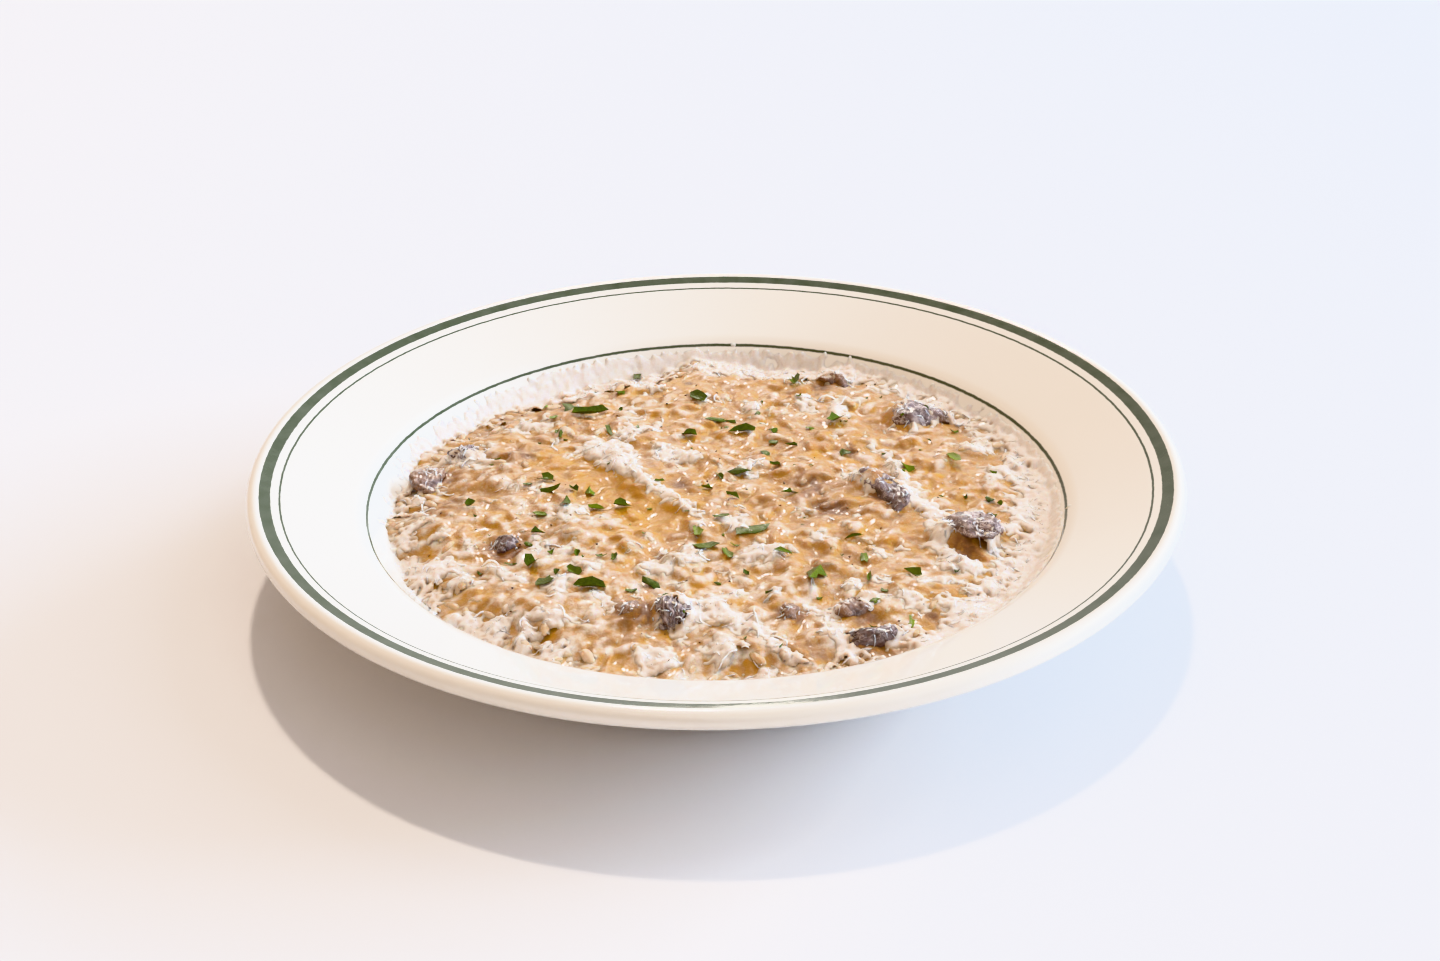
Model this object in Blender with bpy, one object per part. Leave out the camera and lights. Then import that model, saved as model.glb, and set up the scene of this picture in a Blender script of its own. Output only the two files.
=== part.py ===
"""Mushroom risotto in its wide-rimmed porcelain bowl.

Sizes are in millimetres, and new_object() turns them into metres. The origin is on the table,
under the middle of the bowl, with +Z up, -Y at the front and +X at the right.
"""
import math
import random
from collections import namedtuple

import bmesh
import bpy
from mathutils import Euler, Matrix, Vector, noise
from mathutils.bvhtree import BVHTree
from mathutils.geometry import delaunay_2d_cdt, intersect_point_line

MM = 0.001
GAP = 0.3                    # between two pieces that touch
WALL_GAP = 1.5 * GAP         # height of the heap over the bowl, GAP square to its steepest wall
POCKET_GAP = 1.2 * GAP       # at the corners of a mushroom's pocket, GAP square to its sides

# The bowl's turned profile
BOWL_SIDES = 64
RIM_RADIUS = 145.0
RIM_TOP = 38.4
LIP_ROLL = 2.9               # radius of the rolled edge
RIM_POINT = (137.4, 37.3)    # on the rim's upper face, inside the rolled edge
RIM_SLOPE = math.radians(19.6)
WELL_POINT = (108.8, 26.2)   # on the well's wall, at its thin ring
WELL_SLOPE = math.radians(46.6)
WELL_FLOOR = 9.8
WELL_BEND = 34.0             # radius from the floor to the wall
SHOULDER_BEND = 12.0         # radius from the wall to the rim
WALL = 4.9
UNDERSIDE = 4.0
FOOT_OUTER = 79.0
FOOT_INNER = 71.0
FOOT_TAPER = 1.5

# The heap of risotto
HEAP_SIDES = 2 * BOWL_SIDES
HEAP_RADIUS = 103.0
HEAP_RADIUS_VARIES = 4.0
HEAP_LEANS_RIGHT = 1.6       # the heap lies a little off the middle
HEAP_EDGE_LEVEL = 20.9
HEAP_CROWN = 3.6             # height of the middle over the edge
HEAP_CROWN_POWER = 2.4       # how flat the middle is
HEAP_EDGE_DEPTH = 1.1        # height of the heap's own edge on the bowl's wall
HEAP_EDGE_LEAN = 0.4         # how far that edge leans in
UNDERSIDE_RINGS = ((96.0, 36), (89.0, 36), (79.0, 24), (40.0, 8))   # radius and points
HEAP_LEAST_DEPTH = 2.4       # of the heap over the bowl, so it rises with the wall at its edge
SWELLS = ((27.0, 1.1), (11.0, 0.7))      # wavelength and height of the uneven surface
RIDGE = ((-34, 31), (-23, 7), (-7, -13))  # crest that the spoon left
RIDGE_WIDTH, RIDGE_LIFT = 4.5, 2.0
SCOOP = ((-38, 12), (-17, -15))           # smooth hollow beside the crest
SCOOP_WIDTH, SCOOP_LIFT = 8.0, -1.5
LUMPS = (                    # x, y, radius and lift of the larger cheesy lumps
    (17, -33, 5, 2.4), (-22, 41, 7, 1.6), (-8, 32, 6, 1.7), (-27, 86, 6, 1.5), (-4, -41, 6, 1.3),
    (56, -52, 7, 1.5), (-51, -60, 6, 1.3), (29, 69, 7, 1.5), (50, 77, 6, 1.2), (-47, 53, 6, 1.3),
    (-35, -46, 6, 1.2), (71, -58, 6, 1.3), (90, 8, 5, 1.0), (12, -88, 6, 1.1), (-76, -45, 6, 1.3),
    (36, -20, 6, 1.2), (30, 20, 7, 1.3), (-70, 12, 6, 1.2), (76, 40, 6, 1.2), (-10, 62, 7, 1.1))

# Grains of rice, as bumps of their size
GRAIN_LENGTH = 7.0
GRAIN_CREST = 4.4            # length of a bump's crest
GRAIN_SPACING = 3.3         # between the crests of two grains
GRAIN_RISE = (0.9, 2.0)
GRAIN_COUNT = 520
HOLLOW_SPACING = 3.5
HOLLOW_TO_CREST = 2.2
HOLLOW_DROP = (0.1, 0.6)
HOLLOW_COUNT = 620
TRIES_EACH = 60
SEED = 20

# Chopped parsley: x, y, length, width and turn in degrees of the leaves that show best
PARSLEY_LEAVES = (
    (75, 23, 8.5, 4.2, -65), (-5, -25, 6.0, 4.6, 80), (1, -34, 7.0, 4.0, 70), (9, -24, 9.0, 3.2, 15),
    (-49, 62, 6.0, 4.2, 40), (-40, 60, 8.0, 3.0, 5), (-29, 93, 6.5, 3.6, -50), (28, 87, 6.0, 4.0, 85),
    (-47, -4, 6.0, 4.6, 65), (-32, -5, 6.5, 3.4, 10), (39, 48, 6.5, 5.0, 30), (10, 43, 8.5, 2.8, 0),
    (0, 55, 8.0, 2.8, -5), (29, -51, 7.0, 4.6, 55), (-39, -56, 9.5, 3.2, 0), (-45, -50, 6.5, 4.0, 60),
    (58, -50, 5.5, 3.6, 50), (-19, -51, 6.0, 5.0, 75), (17, 27, 5.5, 4.4, 30), (-57, -14, 5.0, 2.8, 20))
PARSLEY_NOTCH = 0.72         # reach of a leaf's notches, as a share of its lobes'
PARSLEY_SCATTER = 24         # smaller bits
PARSLEY_SIZE = (2.4, 4.6)
PARSLEY_REACH = 88.0
PARSLEY_THICKNESS = 0.55
PARSLEY_LIFT = 0.4           # most that a leaf's edge stands off the grains
SUNK = 0.5                   # depth of a topping's underside in the heap

# Grated cheese: the largest curls that stand up
CHEESE_CURLS = 20
CHEESE_LENGTH = (6.0, 10.0)
CHEESE_WIDTH = 1.5           # at the underside
CHEESE_TAPER = 0.8           # width of the upper side, as a share of that
CHEESE_THICKNESS = 0.8
CHEESE_ARCH = (0.6, 1.8)
CHEESE_MARGIN = 9.0          # from a curl's middle to the heap's edge

# Pieces of mushroom. rise is how far the top stands over the heap, bow is how far a slice curves
# sideways, flat is how full the underside is, and the turns are in degrees.
Mushroom = namedtuple("Mushroom", "x y length width height rise yaw pitch roll bow flat ribs corners")
MUSHROOMS = {
    "mushroom_cap_back_right": Mushroom(68, 56, 23, 18, 10, 6.2, 24, 9, -6, 2.0, 0.7, 0, 12),
    "mushroom_slice_centre_right": Mushroom(52, 1, 27, 12, 9, 5.2, -58, 8, 8, 2.5, 0.9, 0, 12),
    "mushroom_cap_right": Mushroom(78, -23, 21, 20, 10, 7.2, -25, -9, -16, 2.0, 0.5, 0, 14),
    "mushroom_gills_front": Mushroom(-13, -70, 15, 13, 10, 6.4, 100, -12, 6, 1.0, 0.8, 8, 20),
    "mushroom_stub_front": Mushroom(-25, -67, 9, 7, 6, 3.2, 60, 10, 0, 0.5, 0.9, 0, 8),
    "mushroom_slice_front_right": Mushroom(44, -80, 23, 9, 8, 4.4, 3, -5, -10, -1.8, 0.8, 0, 12),
    "mushroom_chunk_front_right": Mushroom(39, -67, 12, 8, 7, 3.8, 15, 6, 0, 0.8, 0.9, 0, 8),
    "mushroom_chunk_front": Mushroom(21, -68, 9, 7, 6, 3.4, 80, 0, 10, 0.4, 0.9, 0, 8),
    "mushroom_bit_left": Mushroom(-64, -27, 9, 8, 6, 3.4, 30, -10, 0, 0.6, 0.9, 0, 8),
    "mushroom_cap_left": Mushroom(-92, 18, 16, 11, 6, 3.8, 75, 0, 8, 1.4, 0.8, 0, 10),
    "mushroom_strip_left": Mushroom(-81, 35, 13, 8, 6, 3.8, 25, 5, 0, -1.2, 0.8, 5, 14),
    "mushroom_tip_back": Mushroom(41, 86, 13, 8, 5, 3.7, -26, 6, 0, 1.0, 0.7, 0, 8),
}
MUSHROOM_SECTIONS = 6
MUSHROOM_SQUARENESS = 0.85   # exponent of a section's outline: 1 is a circle and 0 a square
MUSHROOM_BLUNTNESS = 0.4     # exponent of the girth towards the ends: 0.5 is an ellipse
MUSHROOM_LUMPS = 0.55        # strength of the noise that makes a piece uneven
RIB_DEPTH = 0.16
CLEAR_OF_MUSHROOM = 1.4      # from a mushroom's outline to what lies round it

# name: colour, roughness
PORCELAIN = ("porcelain", (0.86, 0.84, 0.80), 0.18)
CREAMY_RICE = ("creamy_rice", (0.72, 0.47, 0.24), 0.35)
MUSHROOM_FLESH = ("mushroom_flesh", (0.17, 0.10, 0.08), 0.40)


# ---------------------------------------------------------------- shared helpers

def clear_scene():
    """Remove whatever the scene holds."""
    for old in list(bpy.data.objects):
        bpy.data.objects.remove(old)


def material(name, colour, roughness):
    """Return the plain material of that name, made once."""
    made = bpy.data.materials.get(name)
    if made is None:
        made = bpy.data.materials.new(name)
        made.use_nodes = True
        shader = made.node_tree.nodes["Principled BSDF"]
        shader.inputs["Base Color"].default_value = (*colour, 1.0)
        shader.inputs["Roughness"].default_value = roughness
        shader.inputs["Metallic"].default_value = 0.0
    return made


def face_outwards(mesh):
    """Turn every face of a closed bmesh to point out of it."""
    bmesh.ops.recalc_face_normals(mesh, faces=mesh.faces)
    if mesh.calc_volume(signed=True) < 0:
        bmesh.ops.reverse_faces(mesh, faces=mesh.faces)


def new_object(name, mesh_in_mm, finish):
    """Make an object of a closed bmesh in millimetres, and free the bmesh."""
    face_outwards(mesh_in_mm)
    bmesh.ops.scale(mesh_in_mm, vec=(MM, MM, MM), verts=mesh_in_mm.verts)
    mesh = bpy.data.meshes.new(name)
    mesh_in_mm.to_mesh(mesh)
    mesh_in_mm.free()
    mesh.materials.append(material(*finish))
    made = bpy.data.objects.new(name, mesh)
    bpy.context.scene.collection.objects.link(made)
    return made


def combine(target, tools, operation):
    """Join the tool objects to the target, or cut them from it, in one Boolean, and remove them."""
    group = bpy.data.collections.new("tools")
    bpy.context.scene.collection.children.link(group)
    for tool in tools:
        bpy.context.scene.collection.objects.unlink(tool)
        group.objects.link(tool)
    boolean = target.modifiers.new("combine", "BOOLEAN")
    boolean.operand_type = "COLLECTION"
    boolean.collection = group
    boolean.operation = operation
    boolean.solver = "EXACT"
    evaluated = target.evaluated_get(bpy.context.evaluated_depsgraph_get())
    result = bpy.data.meshes.new_from_object(evaluated)
    target.modifiers.clear()
    target.data = result
    for tool in tools:
        bpy.data.objects.remove(tool)
    bpy.data.collections.remove(group)


def islands(mesh):
    """Return the mesh's connected groups of vertices."""
    groups = []
    unseen = set(mesh.verts)
    while unseen:
        queue = [unseen.pop()]
        group = set(queue)
        while queue:
            for edge in queue.pop().link_edges:
                for vert in edge.verts:
                    if vert in unseen:
                        unseen.discard(vert)
                        group.add(vert)
                        queue.append(vert)
        groups.append(group)
    return groups


def keep_largest_island(target):
    """Drop loose scraps and fill sealed hollows, each an island smaller than the heap itself."""
    mesh = bmesh.new()
    mesh.from_mesh(target.data)
    groups = sorted(islands(mesh), key=len)
    scraps = [vert for group in groups[:-1] for vert in group]
    bmesh.ops.delete(mesh, geom=scraps, context="VERTS")
    mesh.to_mesh(target.data)
    mesh.free()


# ---------------------------------------------------------------- the bowl

def line_crossing(first, second):
    """Return where two lines of (point, slope angle) cross, in the profile's plane."""
    (r1, z1), a1 = first
    (r2, z2), a2 = second
    r = (z2 - z1 + r1 * math.tan(a1) - r2 * math.tan(a2)) / (math.tan(a1) - math.tan(a2))
    return r, z1 + (r - r1) * math.tan(a1)


def line_under(point, angle):
    """Return the line one wall's thickness under the line through point."""
    r, z = point
    return (r + WALL * math.sin(angle), z - WALL * math.cos(angle)), angle


def bend(before, corner, after, radius, steps):
    """Return the points of a fillet at a corner of the profile."""
    before, corner, after = Vector(before), Vector(corner), Vector(after)
    back = (before - corner).normalized()
    ahead = (after - corner).normalized()
    half = back.angle(ahead) / 2
    centre = corner + (back + ahead).normalized() * radius / math.sin(half)
    start = corner + back * radius / math.tan(half) - centre
    end = corner + ahead * radius / math.tan(half) - centre
    spokes = [start.slerp(end, i / steps).normalized() for i in range(steps + 1)]
    return [tuple(centre + spoke * radius) for spoke in spokes]


def well_profile():
    """Return the upper face's (r, z) points from the middle of the floor to the rim."""
    middle = (0.0, WELL_FLOOR)
    wall = (WELL_POINT, WELL_SLOPE)
    rim = (RIM_POINT, RIM_SLOPE)
    floor_corner = line_crossing((middle, 0.0), wall)
    shoulder = line_crossing(wall, rim)
    return ([middle]
            + bend(middle, floor_corner, shoulder, WELL_BEND, 4)
            + bend(floor_corner, shoulder, RIM_POINT, SHOULDER_BEND, 2)
            + [RIM_POINT])


def lip_profile():
    """Return the rolled edge, from the rim's upper face round to its underside."""
    centre_r = RIM_RADIUS - LIP_ROLL
    centre_z = RIM_TOP - LIP_ROLL
    angles = [math.radians(a) for a in (116, 90, 45, 0, -45, -90)]
    return [(centre_r + LIP_ROLL * math.cos(a), centre_z + LIP_ROLL * math.sin(a)) for a in angles]


def underside_profile():
    """Return the lower face's points, from the rolled edge to the middle, round the foot."""
    rim = line_under(RIM_POINT, RIM_SLOPE)
    wall = line_under(WELL_POINT, WELL_SLOPE)
    shoulder = line_crossing(rim, wall)
    floor_corner = line_crossing(wall, ((0.0, UNDERSIDE), 0.0))
    foot_top = (FOOT_OUTER, UNDERSIDE)
    return (bend(rim[0], shoulder, floor_corner, SHOULDER_BEND - WALL, 1)
            + bend(shoulder, floor_corner, foot_top, WELL_BEND / 2, 2)
            + [foot_top, (FOOT_OUTER - FOOT_TAPER, 0.0), (FOOT_INNER + FOOT_TAPER, 0.0),
               (FOOT_INNER, UNDERSIDE), (0.0, UNDERSIDE)])


def make_bowl():
    """Turn the profile round the bowl's axis."""
    profile = well_profile() + lip_profile() + underside_profile()
    mesh = bmesh.new()
    rings = []
    for r, z in profile:
        if r == 0.0:
            rings.append([mesh.verts.new((0.0, 0.0, z))] * BOWL_SIDES)
            continue
        turns = [math.tau * i / BOWL_SIDES for i in range(BOWL_SIDES)]
        rings.append([mesh.verts.new((r * math.cos(a), r * math.sin(a), z)) for a in turns])
    for inner, outer in zip(rings, rings[1:]):
        for i in range(BOWL_SIDES):
            j = (i + 1) % BOWL_SIDES
            corners = dict.fromkeys((inner[i], inner[j], outer[j], outer[i]))
            mesh.faces.new(list(corners))
    bowl = new_object("bowl", mesh, PORCELAIN)
    bowl.data.shade_smooth()
    bowl.data.set_sharp_from_angle(angle=math.radians(40))
    return bowl


# ---------------------------------------------------------------- the heap's bare form

def well_height(radius):
    """Return the height of the bowl's upper face at that radius."""
    profile = well_profile()
    for (r1, z1), (r2, z2) in zip(profile, profile[1:]):
        if r1 <= radius <= r2:
            return z1 + (z2 - z1) * (radius - r1) / (r2 - r1)
    return profile[-1][1]


def smooth_noise(x, y, layer):
    """Return a smooth number from -1 to 1 that belongs to that place and layer."""
    return noise.noise(Vector((x, y, 7.3 * layer)))


def heap_radius(turn):
    """Return how far out the heap reaches in that direction."""
    x, y = math.cos(turn), math.sin(turn)
    long_wave = smooth_noise(3.2 * x, 3.2 * y, 1)
    short_wave = smooth_noise(11 * x, 11 * y, 2)
    grains = smooth_noise(34 * x, 34 * y, 3)
    uneven = HEAP_RADIUS_VARIES * (0.9 * long_wave + 0.5 * short_wave + 0.35 * grains)
    return HEAP_RADIUS + HEAP_LEANS_RIGHT * x + uneven


def hump(distance, width):
    """Return a smooth hump: 1 at distance 0, falling to about 0 past twice the width."""
    return math.exp(-(distance / width) ** 2)


def distance_to_path(x, y, path):
    """Return the distance from a place to the nearest stretch of a path."""
    place = Vector((x, y, 0.0))
    nearest = math.inf
    for start, end in zip(path, path[1:]):
        start, end = Vector((*start, 0.0)), Vector((*end, 0.0))
        _, share = intersect_point_line(place, start, end)
        point = start.lerp(end, min(max(share, 0.0), 1.0))
        nearest = min(nearest, (place - point).length)
    return nearest


def core_height(x, y):
    """Return the height of the bare heap, without grains."""
    radius = math.hypot(x, y)
    share = min(radius / HEAP_RADIUS, 1.0)
    height = HEAP_EDGE_LEVEL + HEAP_CROWN * (1 - share ** HEAP_CROWN_POWER)
    for layer, (wavelength, lift) in enumerate(SWELLS, 4):
        height += lift * smooth_noise(x / wavelength, y / wavelength, layer)
    height += RIDGE_LIFT * hump(distance_to_path(x, y, RIDGE), RIDGE_WIDTH)
    height += SCOOP_LIFT * hump(distance_to_path(x, y, SCOOP), SCOOP_WIDTH)
    for lump_x, lump_y, lump_radius, lift in LUMPS:
        height += lift * hump(math.hypot(x - lump_x, y - lump_y), lump_radius)
    return max(height, well_height(radius) + HEAP_LEAST_DEPTH)


# ---------------------------------------------------------------- mushrooms

def mushroom_place(piece):
    """Return the matrix that lays a piece of mushroom in the heap."""
    turns = Euler([math.radians(turn) for turn in (piece.roll, piece.pitch, piece.yaw)])
    middle = core_height(piece.x, piece.y) + piece.rise - piece.height / 2
    return Matrix.Translation((piece.x, piece.y, middle)) @ turns.to_matrix().to_4x4()


def rounded_square(turn):
    """Return the place at that turn on a circle that is pushed out towards a square."""
    circle = (math.cos(turn), math.sin(turn))
    return [math.copysign(abs(part) ** MUSHROOM_SQUARENESS, part) for part in circle]


def mushroom_ring(mesh, piece, layer, along):
    """Add one uneven cross-section, at along from -1 to 1 on the piece's length."""
    girth = (1 - along * along) ** MUSHROOM_BLUNTNESS
    ring = []
    for i in range(piece.corners):
        across, up = rounded_square(math.tau * i / piece.corners)
        size = girth * (1 + MUSHROOM_LUMPS * smooth_noise(1.7 * along + across, 1.3 * up, 10 + layer))
        if piece.ribs and up > 0.2 and i % 2:
            size *= 1 - RIB_DEPTH
        if up < 0:
            up *= piece.flat
        sideways = piece.bow * (1 - 2 * along * along)
        ring.append(mesh.verts.new((along * piece.length / 2,
                                    across * size * piece.width / 2 + sideways,
                                    up * size * piece.height / 2)))
    return ring


def mushroom_mesh(piece, layer, grow=0.0):
    """Return one piece: cross-sections along its length, closed at both ends."""
    mesh = bmesh.new()
    ends = [mesh.verts.new((side * piece.length / 2, -piece.bow, 0.0)) for side in (-1, 1)]
    rings = [[ends[0]] * piece.corners]
    for section in range(1, MUSHROOM_SECTIONS):
        along = -math.cos(math.pi * section / MUSHROOM_SECTIONS)
        rings.append(mushroom_ring(mesh, piece, layer, along))
    rings.append([ends[1]] * piece.corners)
    for near, far in zip(rings, rings[1:]):
        for i in range(piece.corners):
            j = (i + 1) % piece.corners
            mesh.faces.new(list(dict.fromkeys((near[i], near[j], far[j], far[i]))))
    bmesh.ops.triangulate(mesh, faces=mesh.faces, quad_method="FIXED")
    face_outwards(mesh)
    mesh.normal_update()
    for vert, normal in [(vert, vert.normal.copy()) for vert in mesh.verts]:
        vert.co += normal * grow
    mesh.transform(mushroom_place(piece))
    return mesh


def make_mushrooms():
    """Make every piece of mushroom."""
    for layer, (name, piece) in enumerate(MUSHROOMS.items()):
        made = new_object(name, mushroom_mesh(piece, layer), MUSHROOM_FLESH)
        made.data.shade_smooth()
        made.data.set_sharp_from_angle(angle=math.radians(50))


def clear_of_mushrooms(x, y, clearance):
    """Say whether a place is at least that far outside every mushroom's outline."""
    for piece in MUSHROOMS.values():
        turn = Matrix.Rotation(-math.radians(piece.yaw), 2)
        offset = turn @ Vector((x - piece.x, y - piece.y))
        along = offset.x / (piece.length / 2 + clearance)
        across = offset.y / (piece.width / 2 + abs(piece.bow) + clearance)
        if along * along + across * across < 1.0:
            return False
    return True


# ---------------------------------------------------------------- the heap

class Spread:
    """Places that keep a distance from each other, found through a grid of cells."""

    def __init__(self, distance):
        self.distance = distance
        self.cells = {}

    def cell(self, x, y):
        """Return the column and row of the cell that a place lies in."""
        return int(x // self.distance), int(y // self.distance)

    def is_free(self, x, y, distance=None):
        """Say whether no place lies within the distance, which is at most the spread's own."""
        column, row = self.cell(x, y)
        for i in (-1, 0, 1):
            for j in (-1, 0, 1):
                for other in self.cells.get((column + i, row + j), ()):
                    if math.dist(other, (x, y)) < (distance or self.distance):
                        return False
        return True

    def add(self, x, y):
        """Take a place."""
        self.cells.setdefault(self.cell(x, y), []).append((x, y))


def random_place(rng, margin):
    """Return a random place on the heap, at least margin inside its edge."""
    while True:
        x = rng.uniform(-HEAP_RADIUS, HEAP_RADIUS)
        y = rng.uniform(-HEAP_RADIUS, HEAP_RADIUS)
        if math.hypot(x, y) < heap_radius(math.atan2(y, x)) - margin:
            return x, y


def grain_crests(rng):
    """Return the ends of each grain's crest, turned at random, and the spread that they fill."""
    spread = Spread(GRAIN_SPACING)
    crests = []
    for _ in range(TRIES_EACH * GRAIN_COUNT):
        if len(crests) == GRAIN_COUNT:
            break
        x, y = random_place(rng, GRAIN_LENGTH / 2)
        turn = rng.uniform(0, math.pi)
        dx, dy = math.cos(turn) * GRAIN_CREST / 2, math.sin(turn) * GRAIN_CREST / 2
        samples = [(x + dx * k, y + dy * k) for k in (-1, 0, 1)]
        if all(spread.is_free(*s) and clear_of_mushrooms(*s, CLEAR_OF_MUSHROOM) for s in samples):
            for sample in samples:
                spread.add(*sample)
            crests.append((samples[0], samples[2]))
    return crests, spread


def hollow_places(rng, crest_spread):
    """Return the low places between the grains."""
    spread = Spread(HOLLOW_SPACING)
    places = []
    for _ in range(TRIES_EACH * HOLLOW_COUNT):
        if len(places) == HOLLOW_COUNT:
            break
        x, y = random_place(rng, HOLLOW_SPACING)
        if spread.is_free(x, y) and crest_spread.is_free(x, y, HOLLOW_TO_CREST):
            spread.add(x, y)
            places.append((x, y))
    return places


def triangles_inside(points, outline, crests):
    """Return the triangles over the points, inside the outline, with an edge along each crest."""
    result = delaunay_2d_cdt([Vector(p) for p in points], crests, [outline], 1, 1e-6)
    sources = result[3]
    return [[sources[i][0] for i in face] for face in result[2]]


def heap_surface(mesh, edge_ring):
    """Add the heap's upper face, with its grains, inside the ring of edge vertices."""
    rng = random.Random(SEED)
    crests, spread = grain_crests(rng)
    verts = list(edge_ring)
    crest_edges = []
    for ends in crests:
        crest_edges.append((len(verts), len(verts) + 1))
        for x, y in ends:
            verts.append(mesh.verts.new((x, y, core_height(x, y) + rng.uniform(*GRAIN_RISE))))
    for x, y in hollow_places(rng, spread):
        verts.append(mesh.verts.new((x, y, core_height(x, y) - rng.uniform(*HOLLOW_DROP))))
    points = [vert.co.xy for vert in verts]
    for face in triangles_inside(points, list(range(len(edge_ring))), crest_edges):
        mesh.faces.new([verts[i] for i in face])


def heap_underside(mesh, edge_ring):
    """Add the heap's lower face, which follows the well just above the porcelain."""
    verts = list(edge_ring)
    for radius, sides in UNDERSIDE_RINGS:
        for i in range(sides):
            turn = math.tau * i / sides
            place = (radius * math.cos(turn), radius * math.sin(turn), well_height(radius) + WALL_GAP)
            verts.append(mesh.verts.new(place))
    points = [vert.co.xy for vert in verts]
    for face in triangles_inside(points, list(range(len(edge_ring))), []):
        mesh.faces.new([verts[i] for i in face])


def make_heap():
    """Make the heap of risotto as one closed body, before anything is cut from it or laid on it."""
    mesh = bmesh.new()
    low_ring, high_ring = [], []
    for i in range(HEAP_SIDES):
        turn = math.tau * i / HEAP_SIDES
        radius = heap_radius(turn)
        # halfway along one of the bowl's flat sides, the wall is nearer the axis
        flat_side = math.cos(math.pi / BOWL_SIDES) if i % 2 else 1.0
        level = well_height(radius / flat_side) + WALL_GAP
        direction = Vector((math.cos(turn), math.sin(turn), 0.0))
        low_ring.append(mesh.verts.new(direction * radius + Vector((0, 0, level))))
        lip = level + HEAP_EDGE_DEPTH
        high_ring.append(mesh.verts.new(direction * (radius - HEAP_EDGE_LEAN) + Vector((0, 0, lip))))
    for i in range(HEAP_SIDES):
        j = (i + 1) % HEAP_SIDES
        mesh.faces.new((low_ring[i], low_ring[j], high_ring[j], high_ring[i]))
    heap_surface(mesh, high_ring)
    heap_underside(mesh, low_ring)
    bmesh.ops.triangulate(mesh, faces=mesh.faces)
    return new_object("risotto", mesh, CREAMY_RICE)


def cut_pockets(heap):
    """Cut a pocket for each piece of mushroom, a gap larger than the piece."""
    cutters = [new_object("cutter", mushroom_mesh(piece, layer, POCKET_GAP), MUSHROOM_FLESH)
               for layer, piece in enumerate(MUSHROOMS.values())]
    combine(heap, cutters, "DIFFERENCE")
    keep_largest_island(heap)


# ---------------------------------------------------------------- parsley and cheese on the heap

def surface_finder(heap):
    """Return a function that gives the heap's height in millimetres at a place."""
    mesh = bmesh.new()
    mesh.from_mesh(heap.data)
    tree = BVHTree.FromBMesh(mesh)
    mesh.free()

    def height(x, y):
        hit = tree.ray_cast(Vector((x * MM, y * MM, 1.0)), Vector((0, 0, -1)))[0]
        return hit.z / MM if hit else core_height(x, y)

    return height


def leaf_mesh(rng, x, y, length, width, turn, height_at):
    """Return one bit of parsley: a thin lobed leaf that follows the grains under it."""
    points = 8 if length > PARSLEY_SIZE[1] else 5
    mesh = bmesh.new()
    top, bottom = [], []
    for i in range(points + 1):
        angle = math.tau * i / points
        lobe = (1.0 if i % 2 else PARSLEY_NOTCH) * rng.uniform(0.85, 1.1)
        reach = 0.0 if i == points else lobe
        along = math.cos(angle) * reach * length / 2
        across = math.sin(angle) * reach * width / 2
        place_x = x + along * math.cos(turn) - across * math.sin(turn)
        place_y = y + along * math.sin(turn) + across * math.cos(turn)
        level = height_at(place_x, place_y) + rng.uniform(0.0, PARSLEY_LIFT)
        top.append(mesh.verts.new((place_x, place_y, level + PARSLEY_THICKNESS)))
        bottom.append(mesh.verts.new((place_x, place_y, level - SUNK)))
    for i in range(points):
        j = (i + 1) % points
        mesh.faces.new((top[i], top[j], top[points]))
        mesh.faces.new((bottom[j], bottom[i], bottom[points]))
        mesh.faces.new((top[j], top[i], bottom[i]))
        mesh.faces.new((top[j], bottom[i], bottom[j]))
    return mesh


def curl_mesh(rng, x, y, height_at):
    """Return one shred of cheese: a flat strip that arches over the grains."""
    length = rng.uniform(*CHEESE_LENGTH)
    arch = rng.uniform(*CHEESE_ARCH)
    turn = rng.uniform(0, math.tau)
    bow = rng.uniform(-0.5, 0.5)
    mesh = bmesh.new()
    sections = []
    for i in range(3):
        along = i - 1
        heading = turn + bow * along
        centre_x = x + along * math.cos(heading) * length / 2
        centre_y = y + along * math.sin(heading) * length / 2
        level = height_at(centre_x, centre_y) + arch * (1 - along * along)
        side = Vector((-math.sin(heading), math.cos(heading), 0)) * CHEESE_WIDTH / 2
        low = Vector((centre_x, centre_y, level - SUNK))
        high = Vector((centre_x, centre_y, level + CHEESE_THICKNESS))
        corners = (low - side, low + side, high + side * CHEESE_TAPER, high - side * CHEESE_TAPER)
        sections.append([mesh.verts.new(corner) for corner in corners])
    for near, far in zip(sections, sections[1:]):
        for i in range(4):
            j = (i + 1) % 4
            mesh.faces.new((near[i], near[j], far[j], far[i]))
    mesh.faces.new(sections[0])
    mesh.faces.new(sections[-1])
    bmesh.ops.triangulate(mesh, faces=mesh.faces)
    return mesh


def scatter(rng, count, margin, distance):
    """Return that many random places, clear of the mushrooms and of each other."""
    spread = Spread(distance)
    places = []
    while len(places) < count:
        x, y = random_place(rng, margin)
        if spread.is_free(x, y) and clear_of_mushrooms(x, y, CLEAR_OF_MUSHROOM + distance / 2):
            spread.add(x, y)
            places.append((x, y))
    return places


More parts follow.
